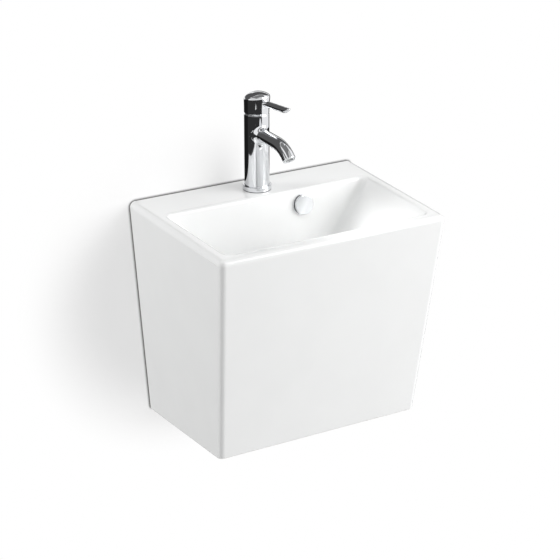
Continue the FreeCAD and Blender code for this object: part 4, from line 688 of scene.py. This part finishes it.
class BASIN_OT_tap_head(bpy.types.Operator):
    """Build the turning head, the pin lever and the cover of the grub screw"""

    bl_idname = "basin.tap_head"
    bl_label = "Tap head and lever"

    def head(self, radius, steps, turn):
        """Head as one grid: the ball cavity, the side, the rounded top edge and the dome.

        The edge is the parabola (1-t)^2 A + 2t(1-t) P + t^2 C from the side, over the corner P, to the dome.
        """
        low_rows = (HEAD_FOOT, 141.05, 141.25, 141.5, 142.5, 146, 149.5, 150.5)
        edge_below, edge_inward = 3.6, 3.4
        pole = np.array([0.0, -2.4])
        angle = np.linspace(0, 2 * math.pi, steps, endpoint=False)
        facing = np.stack([np.cos(angle), np.sin(angle)], -1)

        def side(height):
            """Point on the side at a height: a circle that grows and moves forward above the foot."""
            share = np.clip((height - HEAD_STRAIGHT_TOP) / HEAD_TAPER, 0, None)[..., None]
            around = facing.reshape(facing.shape[:1] + (1,) * (share.ndim - 2) + (2,))
            wide = radius + (HEAD_TOP_RADIUS - radius) * share
            return around * wide + np.array([0, -HEAD_TOP_FORWARD]) * share

        def dome(spot):
            """Height of the dome over a spot: the top of a ball set forward."""
            x, y = spot[..., 0], spot[..., 1] + DOME_FORWARD
            return DOME_CENTRE + np.sqrt(DOME_RADIUS**2 - x**2 - y**2)

        meeting = np.full(steps, 174.0)  # settles at the height where the side meets the dome
        for _ in range(25):
            meeting = dome(side(meeting)) * 0.5 + meeting * 0.5
        span = meeting[:, None] - edge_below - low_rows[-1]
        high_rows = low_rows[-1] + span * np.linspace(0.15, 1, 8)[None, :]
        heights = np.concatenate([np.broadcast_to(low_rows, (steps, len(low_rows))), high_rows], axis=1)
        bevel = np.clip((HEAD_FOOT + 0.5 - heights) / 0.5, 0, 1) ** 2 * 0.45
        wall = np.concatenate([side(heights) * (1 - bevel / radius)[..., None], heights[..., None]], -1)
        corner = np.concatenate([side(meeting[:, None]), meeting[:, None, None]], -1)
        spot = corner[..., :2]
        inner_spot = spot + (pole - spot) * edge_inward / np.linalg.norm(spot - pole, axis=-1, keepdims=True)
        inner = np.concatenate([inner_spot, dome(inner_spot)[..., None]], -1)
        t = np.linspace(0, 1, 11)[1:, None]
        round_edge = (1 - t) ** 2 * wall[:, -1:, :] + 2 * t * (1 - t) * corner + t**2 * inner
        share = np.linspace(0, 1, 16)[1:, None]
        top_spot = inner_spot + (pole - inner_spot) * share
        top = np.concatenate([top_spot, dome(top_spot)[..., None]], -1)
        slope = np.linspace(0, math.asin(CAVITY_MOUTH / CAVITY_RADIUS), 16)
        across = CAVITY_RADIUS * np.sin(slope)
        level = np.broadcast_to(SEAT_HEIGHT + CAVITY_RADIUS * np.cos(slope), (steps, len(slope)))
        cavity = np.concatenate([facing[:, None, :] * across[None, :, None], level[..., None]], -1)
        head = np.concatenate([cavity, wall, round_edge, top], axis=1) * MM
        points = head @ turn.T + TAP
        skin("tap_head", points, "bright_chrome", ("handle_hub",), "tap_handle", loop_v=False, sharp=38)

    def lever(self, bar, turn):
        """Pin lever of ellipses p = (w cos a, -s, 161.3 + m + t sin a), flared at the head, thin at the tip.

        The half width w, the half height t and the middle m change along s: the underside rises over the
        nose, and w and t close round the tip as sqrt(q (2 - q)), where q falls from 1 to 0 over the last 2.4.
        """
        flare_end, flare_run, nose, tip_round = 27.0, 6.5, 14.0, 2.4
        nose_rows = LEVER_TIP - 16 * np.linspace(1, 0, 26) ** 1.7
        flare_rows = np.linspace(20.5, flare_end, 9)
        length = np.concatenate([[LEVER_START], flare_rows, np.linspace(32, 68, 10), nose_rows])
        flare = 1.5 * np.clip((flare_end - length) / flare_run, 0, 1) ** 2
        sweep = np.clip((length - (LEVER_TIP - nose)) / nose, 0, 1)
        to_tip = np.clip((LEVER_TIP - length) / tip_round, 0, 1)
        end_round = np.sqrt(to_tip * (2 - to_tip))
        underside = -bar + (bar + bar * 0.62) * sweep**2.1
        middle = (bar + underside) / 2
        tall = (bar - underside) / 2 * end_round + flare
        wide = bar * (1 - 0.32 * sweep**2) * end_round + flare
        around = np.linspace(0, 2 * math.pi, 56, endpoint=False)[:, None]
        height = LEVER_HEIGHT + middle + tall * np.sin(around)
        lever = np.stack([wide * np.cos(around), -np.broadcast_to(length, height.shape), height], -1)
        first = np.zeros_like(lever[:, :1]) + [0, -LEVER_START, LEVER_HEIGHT]
        last = lever[:, -1:] * 0 + lever[:, -1:].mean(axis=0, keepdims=True)
        lever = np.concatenate([first, lever, last], axis=1) * MM
        points = lever @ turn.T + TAP
        skin("tap_lever", points, "bright_chrome", ("handle_lever",), "tap_handle", loop_v=False)

    def screw_cover(self, turn):
        """Small domed cover in the back of the head."""
        cover = softened([[0, -2], [3.0, -2], [3.0, 0.35], [0, 0.55]], [0, 0.3, 0.5, 0], 4)
        at = TAP + turn @ (np.array(SCREW_COVER) * MM)
        points = revolved(cover, 48, at, turn @ turn_matrix("X", -math.pi / 2))
        skin("tap_screw_cover", points, "grey_moulding", ("handle_plug",), "tap_handle")

    def execute(self, context):
        tap = context.scene.basin_tap
        turn = turn_matrix("Z", tap.rest_turn)
        self.head(tap.column_radius / MM, context.scene.basin_detail.round_steps, turn)
        self.lever(tap.lever_radius / MM, turn)
        self.screw_cover(turn)
        return {"FINISHED"}


class BASIN_OT_overflow(bpy.types.Operator):
    """Build the overflow's flange ring and its cap on legs"""

    bl_idname = "basin.overflow"
    bl_label = "Overflow trim"

    def execute(self, context):
        steps = context.scene.basin_detail.round_steps
        back = BOWL_BACK - BACK_LEAN * OVERFLOW_DROP / BACK_DEPTH
        centre = np.array([OVERFLOW_SIDE, back, RIM - OVERFLOW_DROP]) * MM
        turn = turn_matrix("X", -math.atan(BACK_LEAN / BACK_DEPTH)) @ turn_matrix("X", math.pi / 2)
        ring = softened([[11.3, 0], [19, 0], [19, 1.6], [11.3, 1.6]], [0.2, 0.1, 1.0, 0.4], 6)
        points = revolved(ring, steps, centre, turn)
        skin("overflow_flange", points, "bright_chrome", ("overflow_ring",))
        corners = [[0, 8.2], [18, 8.1], [18, 4.0], [16.2, 4.0], [16.2, 6.4], [0, 6.4]]
        points = revolved(softened(corners, [0, 1.9, 0.25, 0.25, 0.5, 0], 8), steps, centre, turn)
        skin("overflow_cover", points, "bright_chrome", ("overflow_cap",))
        leg = softened([[0, -4], [1.4, -4], [1.4, 6.8], [0, 6.8]], [0, 0.4, 0.2, 0], 3)
        for index in range(3):
            angle = 2 * math.pi * index / 3 + math.pi / 2
            spot = OVERFLOW_LEG_CIRCLE * np.array([math.cos(angle), math.sin(angle), 0])
            at = centre + turn @ (spot * MM)
            skin(f"overflow_leg_{index + 1}", revolved(leg, 24, at, turn), "bright_chrome")
        return {"FINISHED"}


class BASIN_OT_fixings(bpy.types.Operator):
    """Build the threaded wall bolts, their nuts and washers, and the tap's stud with its nut"""

    bl_idname = "basin.fixings"
    bl_label = "Bolts, studs and nuts"

    def bolt(self, number, at, back, detail):
        """Bolt with a machine thread in the room and a coarse one in the wall."""
        machine = threaded(MACHINE_RADIUS, 0.85, detail.bolt_pitch / MM, -BOLT_IN_ROOM, 6, 48)
        wood = threaded(
            BOLT_RADIUS, 1.25, detail.wood_pitch / MM, 5.5, BOLT_IN_WALL, 48, taper=9.0, rows_per_turn=16
        )
        points = machine @ back.T + at
        room_end = skin(f"wall_bolt_room_{number}", points, "zinc_steel", loop_v=False)
        skin(f"wall_bolt_wall_{number}", wood @ back.T + at, "zinc_steel", loop_v=False)
        return room_end

    def bolt_nut(self, number, at, back):
        """Bevelled nut on a bolt."""
        nut = softened([[4.8, 0], [8.6, 0], [9.8, 0.9], [9.8, 7.1], [8.6, 8], [4.8, 8]], 0.25, 3)
        points = revolved(nut, 96, at + np.array([0, -BOLT_NUT_FACE * MM, 0]), back, hexagonal(17.0, 4.8))
        return skin(f"wall_nut_{number}", points, "zinc_steel", sharp=30)

    def bolt_washer(self, number, at, back):
        """Washer under a bolt's nut."""
        washer = softened([[5.2, 0], [15, 0], [15, 2.5], [5.2, 2.5]], 0.5, 4)
        points = revolved(washer, 72, at + np.array([0, -BOLT_WASHER_FACE * MM, 0]), back)
        return skin(f"wall_washer_{number}", points, "zinc_steel")

    def stud(self, at, pitch):
        """Threaded stud under the tap."""
        points = threaded(STUD_RADIUS, 0.7, pitch, STUD_LOW, STUD_HIGH, 40) + at
        skin("tap_stud_thread", points, "zinc_steel", ("tap_stud",), loop_v=False)

    def stud_nut(self, at):
        """Bevelled nut on the stud."""
        nut = softened([[4.05, -28], [6.5, -28], [7.5, -27.2], [7.5, -20.8], [6.5, -20], [4.05, -20]], 0.2, 3)
        points = revolved(nut, 96, at, None, hexagonal(13.0, 4.05))
        skin("tap_stud_hexagon", points, "turned_brass", ("tap_stud_nut",), sharp=30)

    def execute(self, context):
        detail = context.scene.basin_detail
        back = turn_matrix("X", -math.pi / 2)
        for number, side in ((1, -1), (2, 1)):
            at = np.array([side * BOLT_SIDE, 0, 0])
            bolt = self.bolt(number, at, back, detail)
            nut = self.bolt_nut(number, at, back)
            washer = self.bolt_washer(number, at, back)
            if number == 1:  # each node holds the solids of both sides
                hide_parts("wall_bolts")
                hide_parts("bolt_nuts")
                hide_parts("bolt_washers")
        at = TAP + np.array([0, STUD_REAR, 0]) * MM
        self.stud(at, detail.stud_pitch / MM)
        self.stud_nut(at)
        return {"FINISHED"}


class BASIN_OT_waste(bpy.types.Operator):
    """Build the waste's domed plug and its backnut"""

    bl_idname = "basin.waste"
    bl_label = "Waste"

    def plug(self, steps):
        """Domed plug with a rolled edge."""
        radius = np.linspace(0, 27.2, 24)
        dome = np.stack([radius, PLUG_TOP - PLUG_CROWN * (radius / PLUG_DOME) ** 2], -1)
        rolled = [[27.6, 2.15], [28.0, 2.0], [28.35, 1.75], [28.55, 1.35]]
        corners = [[28.6, 1.9], [28.6, -1.2], [6.5, -1.2], [6.5, -6.0], [0, -6.0]]
        under = softened(corners, [0.9, 0.3, 0.4, 0.3, 0], 4)
        end_arc = 6  # the first and last corner keep only the guard point that faces the rest
        outline = np.concatenate([dome, rolled, under[end_arc:-end_arc], [[6.1, -6.0], [0, -6.0]]])
        points = revolved(outline, steps, DRAIN)
        skin("waste_cover", points, "bright_chrome", ("waste_plug",), "plug", loop_v=False, sharp=45)

    def backnut(self):
        """Large bevelled nut under the basin."""
        nut = [[WASTE_THREAD, -52], [31, -52], [33.4, -50.4], [33.4, -43.6], [31, -42], [WASTE_THREAD, -42]]
        points = revolved(softened(nut, 0.4, 3), 120, DRAIN, None, hexagonal(58.0, WASTE_THREAD))
        skin("waste_hexagon", points, "turned_brass", ("waste_backnut",), sharp=30)

    def execute(self, context):
        self.plug(context.scene.basin_detail.round_steps)
        self.backnut()
        return {"FINISHED"}


class BASIN_OT_trap(bpy.types.Operator):
    """Build the trap's gripped nuts, its bottle and its rosette"""

    bl_idname = "basin.trap"
    bl_label = "Bottle trap"

    def nuts(self, around):
        """Three gripped nuts of one outline, each stretched to its own height."""
        grip = ribbed(TRAP_NUT_RADIUS, 12, 1.9)
        nut_height = 20.5
        outside = [[WASTE_THREAD, 0], [TRAP_NUT_RADIUS, 0], [TRAP_NUT_RADIUS, nut_height]]
        inside = [[16.2, nut_height], [16.2, 17], [WASTE_THREAD, 17]]
        nut = softened(outside + inside, [0.4, 1.6, 2.2, 0.5, 0.3, 0.3])
        down, outward = turn_matrix("X", math.pi), turn_matrix("X", -math.pi / 2)
        for name, node, height, spot, turn in (
            ("trap_grip_inlet", "trap_inlet_nut", 22, (0, 0, TRAP_INLET_NUT), down),
            ("trap_grip_collar", "trap_collar_nut", 20, (0, 0, TRAP_COLLAR_NUT), None),
            ("trap_grip_outlet", "trap_outlet_nut", 20, (0, TRAP_OUTLET_NUT, TRAP_OUTLET), outward),
        ):
            points = revolved(nut * [1, height / nut_height], around, DRAIN + np.array(spot) * MM, turn, grip)
            skin(name, points, "white_moulding", (node,), sharp=60)

    def bottle(self, around):
        """Cup that screws off, with grooves round its collar."""
        outside = [[0, -240], [22.5, -240], [27, -235], [27, -193], [31, -189], [31, -166]]
        inside = [[27.05, -166], [27.05, -182.5], [24, -182.5], [24, -237], [0, -237]]
        cup = softened(outside + inside, [0, 4, 3, 2.5, 2.5, 1.2, 0.2, 0.2, 0.2, 2, 0], 6)
        points = revolved(cup, around, DRAIN, None, ribbed(31.0, 16, -1.1))
        skin("trap_bottle", points, "white_moulding", ("trap_cup",), sharp=60)

    def rosette(self):
        """Sloped plate round the outlet, on the wall."""
        outline = softened(
            [[16.2, 8], [18.6, 8], [33.5, 1.6], [35, 0.3], [35, 0], [33.6, 0], [17.6, 6.6], [16.2, 6.8]],
            [0.4, 2.5, 1.0, 0.1, 0.1, 0.1, 0.8, 0.1],
        )
        at = np.array([DRAIN[0], 0, DRAIN[2] + TRAP_OUTLET * MM])
        points = revolved(outline, 144, at, turn_matrix("X", math.pi / 2))
        skin("rosette_shell", points, "bright_chrome", ("wall_rosette",))

    def execute(self, context):
        around = 192
        self.nuts(around)
        self.bottle(around)
        self.rosette()
        return {"FINISHED"}


class BASIN_OT_stage(bpy.types.Operator):
    """Set the wall, the floor, the dark cards, the lamps and the camera"""

    bl_idname = "basin.stage"
    bl_label = "Stage"

    def flat(self, name, points, faces, material, seen_by):
        """Flat object that only the named rays see."""
        mesh = bpy.data.meshes.new(name)
        mesh.from_pydata(points, [], faces)
        mesh.materials.append(material)
        made = placed(name, mesh)
        for ray in ("camera", "diffuse", "glossy", "transmission", "volume_scatter", "shadow"):
            setattr(made, f"visible_{ray}", ray in seen_by)

    def plane(self, name, centre, across, up, material, seen_by=("glossy",)):
        """Rectangle centre + s across + t up, for s and t from -1 to 1."""
        corners = [(-1, -1), (1, -1), (1, 1), (-1, 1)]
        points = [Vector(centre) + Vector(across) * s + Vector(up) * t for s, t in corners]
        self.flat(name, points, [(0, 1, 2, 3)], material, seen_by)

    def sector(self, name, inner, outer, first, last, height, material):
        """Level ring sector r (sin a, -cos a) seen only in reflections, for r and a between their limits."""
        steps = 24
        angle = np.radians(np.linspace(first, last, steps + 1))
        edge = np.stack([np.sin(angle), -np.cos(angle), np.zeros_like(angle)], -1)
        points = np.concatenate([edge * inner, edge * outer]) + [0, 0, height]
        faces = [(i, i + 1, i + steps + 2, i + steps + 1) for i in range(steps)]
        self.flat(name, points, faces, material, ("glossy",))

    def bare_tree(self, name):
        """New material with an empty tree, and that tree."""
        material = bpy.data.materials.new(name)
        material.use_nodes = True
        material.node_tree.nodes.clear()
        return material, material.node_tree

    def backdrop(self, name, glow, grey, one_sided, middle, near, far, painted_shade_reach=0.0):
        """Pale surface that keeps a shadow near a point and fades to white between two distances from it.

        The last distance, if given, is the reach of a painted contact shadow: a dark line painted where
        something touches the surface.
        """
        material, tree = self.bare_tree(name)
        place = add_node(tree, "TexCoord").outputs["Object"]
        distance = add_node(tree, "VectorMath", {"operation": "DISTANCE"}, i0=place, i1=middle)
        smooth = {"interpolation_type": "SMOOTHSTEP"}
        limits = {"Value": distance.outputs["Value"], "From_Min": near, "From_Max": far}
        tone = add_node(tree, "MapRange", smooth, **limits, To_Min=grey, To_Max=0.0).outputs[0]
        light = add_node(tree, "MapRange", smooth, **limits, To_Min=glow, To_Max=1.0).outputs[0]
        diffuse = add_node(tree, "BsdfDiffuse", Color=tone).outputs[0]
        camera_ray = add_node(tree, "LightPath").outputs["Is Camera Ray"]
        strength = add_node(tree, "Math", {"operation": "MULTIPLY"}, i0=camera_ray, i1=light).outputs[0]
        own_light = add_node(tree, "Emission", Strength=strength).outputs[0]
        front = add_node(tree, "AddShader", i0=diffuse, i1=own_light).outputs[0]
        # Painted shade: where ambient occlusion finds something close, a dark diffuse is mixed in, a painted
        # contact shadow along the join.
        if painted_shade_reach:
            openness = add_node(tree, "AmbientOcclusion", Distance=painted_shade_reach).outputs["AO"]
            share = add_node(tree, "MapRange", Value=openness, From_Min=0.5, From_Max=0.85).outputs[0]
            dark = add_node(tree, "BsdfDiffuse", Color=(0.16, 0.16, 0.16, 1)).outputs[0]
            front = add_node(tree, "MixShader", i0=share, i1=dark, i2=front).outputs[0]
        if one_sided:
            behind = add_node(tree, "NewGeometry").outputs["Backfacing"]
            clear = add_node(tree, "BsdfTransparent").outputs[0]
            front = add_node(tree, "MixShader", i0=behind, i1=front, i2=clear).outputs[0]
        add_node(tree, "OutputMaterial", i0=front)
        return material

    def card(self, name, value):
        """Plain card of one grey."""
        material, tree = self.bare_tree(name)
        glow = add_node(tree, "Emission", Color=(value, value, value, 1)).outputs[0]
        add_node(tree, "OutputMaterial", i0=glow)
        return material

    def lamp(self, name, spot, target, size, power, mirrored=True, spread=180.0):
        """Soft lamp aimed at a point, which mirrors may not see and whose beam may be narrowed."""
        data = bpy.data.lights.new(name, "AREA")
        data.shape = "RECTANGLE"
        data.size, data.size_y = size
        data.energy = power
        data.spread = math.radians(spread)
        made = placed(name, data)
        made.location = spot
        made.rotation_euler = (Vector(target) - Vector(spot)).to_track_quat("-Z", "Y").to_euler()
        made.visible_glossy = mirrored

    def surfaces(self, drop):
        """Wall and floor for the camera alone, and a second floor that throws light back up."""
        top, half_width, reach = 3.0, 3.5, 6
        shade = (-0.115, 0, -0.12)
        # The wall carries a painted contact shadow, a dark line along the basin's rear edges.
        wall = self.backdrop("plain_wall", 0.36, 0.62, True, shade, near=0.15, far=0.33, painted_shade_reach=0.007)
        floor = self.backdrop("pale_floor", 0.36, 0.66, True, (0, -0.15, drop), near=0.5, far=1.6)
        middle, half_height = (0, 0.0004, (top + drop) / 2), (top - drop) / 2
        self.plane("wall", middle, (half_width, 0, 0), (0, 0, half_height), wall, ("camera",))
        self.plane("floor", (0, 0, drop), (reach, 0, 0), (0, reach, 0), floor, ("camera",))
        bounce = self.backdrop("floor_bounce", 0.0, 0.66, False, (0, 0, 0), near=50, far=60)
        lower = (0, 0, drop - 0.002)
        self.plane("floor_bounce", lower, (reach, 0, 0), (0, reach, 0), bounce, ("diffuse", "shadow"))

    def cards(self):
        """Grey cards behind, under and over the basin, which only mirrors see."""
        black = self.card("dark_card", 0.012)
        grey = self.card("grey_card", 0.22)
        dim = self.card("dim_card", 0.10)
        low = self.card("low_card", 0.035)
        behind = 1.1
        for name, x, z, half_width, half_height, tone in (
            ("card_behind", 0, -1.28, 3.2, 1.22, black),
            ("card_behind_high", 0, 1.6, 3.2, 0.8, dim),
            ("card_behind_left", -1.85, 0.37, 1.35, 0.43, dim),
            ("card_behind_right", 1.85, 0.22, 1.35, 0.28, dim),
            ("card_behind_middle", -0.1, 0.55, 0.4, 0.25, dim),
        ):
            self.plane(name, (x, behind, z), (half_width, 0, 0), (0, 0, half_height), tone)
        self.sector("card_low", 1.25, 4.5, -116, 20, -0.62, low)
        self.sector("card_high", 1.75, 3.3, -125, 12, 1.6, grey)
        self.plane("card_above", (0, -0.3, 2.4), (1.5, 0, 0), (0, 1.3, 0), grey)

    def lamps(self, stage):
        """A large key lamp, a fill lamp, a weak one overhead and a narrow one for the bowl."""
        target = (0, -0.16, 0)
        self.lamp("key_lamp", (2.0, -2.0, 1.1), target, (2.2, 2.2), stage.key_power)
        self.lamp("fill_lamp", (-2.35, 1.15, 1.05), target, (1.2, 1.6), stage.fill_power, False)
        self.lamp("top_lamp", (0.3, -0.9, 2.3), target, (1.8, 1.8), stage.top_power)
        bowl_spot, bowl_target = (-0.09, -0.23, 0.29), (0.12, -0.22, 0)
        self.lamp("bowl_lamp", bowl_spot, bowl_target, (0.18, 0.06), stage.bowl_power, False, 46.0)

    def room(self, scene, strength):
        """Even light all round, which the camera, mirrors and clear things see as plain white."""
        world = bpy.data.worlds.new("studio")
        scene.world = world
        world.use_nodes = True
        tree = world.node_tree
        background = tree.nodes["Background"]
        background.inputs["Color"].default_value = (1, 1, 1, 1)
        rays = add_node(tree, "LightPath").outputs
        seen = rays["Is Camera Ray"]
        for ray in ("Is Glossy Ray", "Is Transmission Ray"):
            seen = add_node(tree, "Math", {"operation": "MAXIMUM"}, i0=seen, i1=rays[ray]).outputs[0]
        level = add_node(tree, "MapRange", Value=seen, To_Min=strength, To_Max=1.0).outputs[0]
        tree.links.new(level, background.inputs["Strength"])

    def camera(self, scene):
        """Camera that looks along an azimuth and an elevation, both in degrees, from its spot."""
        azimuth = math.radians(-29.523)
        elevation = math.radians(22.915)
        level = math.cos(elevation)
        away = Vector((math.sin(azimuth) * level, -math.cos(azimuth) * level, math.sin(elevation)))
        camera = bpy.data.cameras.new("camera")
        camera.sensor_width = 36.0
        camera.lens = 117.17
        camera.shift_x = -0.00214
        camera.clip_end = 50
        made = placed("camera", camera)
        made.location = (-1.45061, -2.69784, 1.17092)
        made.rotation_euler = (-away).to_track_quat("-Z", "Y").to_euler()
        scene.camera = made

    def execute(self, context):
        scene = context.scene
        stage = scene.basin_stage
        self.surfaces(-stage.floor_drop)
        self.cards()
        self.lamps(stage)
        self.room(scene, stage.room)
        self.camera(scene)
        scene.view_settings.view_transform = "Standard"
        return {"FINISHED"}


class BASIN_PT_sidebar(bpy.types.Panel):
    """Sizes, colours and the steps that build the basin"""

    bl_idname = "BASIN_PT_sidebar"
    bl_label = "Basin"
    bl_space_type = "VIEW_3D"
    bl_region_type = "UI"
    bl_category = "Basin"

    def draw(self, context):
        for name, settings in SETTINGS.items():
            box = self.layout.box()
            for key in settings.__annotations__:
                box.prop(getattr(context.scene, name), key)
        for step in STEPS:
            self.layout.operator(step.bl_idname)


SETTINGS = {
    "basin_glaze": GlazeSettings,
    "basin_tap": TapSettings,
    "basin_detail": DetailSettings,
    "basin_stage": StageSettings,
}
STEPS = (
    BASIN_OT_finishes,
    BASIN_OT_tap_body,
    BASIN_OT_tap_head,
    BASIN_OT_overflow,
    BASIN_OT_fixings,
    BASIN_OT_waste,
    BASIN_OT_trap,
    BASIN_OT_stage,
)


def register():
    for settings in SETTINGS.values():
        bpy.utils.register_class(settings)
    for name, settings in SETTINGS.items():
        setattr(bpy.types.Scene, name, PointerProperty(type=settings))
    for step in STEPS:
        bpy.utils.register_class(step)
    bpy.utils.register_class(BASIN_PT_sidebar)


def unregister():
    bpy.utils.unregister_class(BASIN_PT_sidebar)
    for step in reversed(STEPS):
        bpy.utils.unregister_class(step)
    for name, settings in SETTINGS.items():
        delattr(bpy.types.Scene, name)
        bpy.utils.unregister_class(settings)


def main():
    register()
    bpy.ops.basin.finishes()
    bpy.ops.basin.tap_body()
    bpy.ops.basin.tap_head()
    bpy.ops.basin.overflow()
    bpy.ops.basin.fixings()
    bpy.ops.basin.waste()
    bpy.ops.basin.trap()
    bpy.ops.basin.stage()


if __name__ == "__main__":
    main()
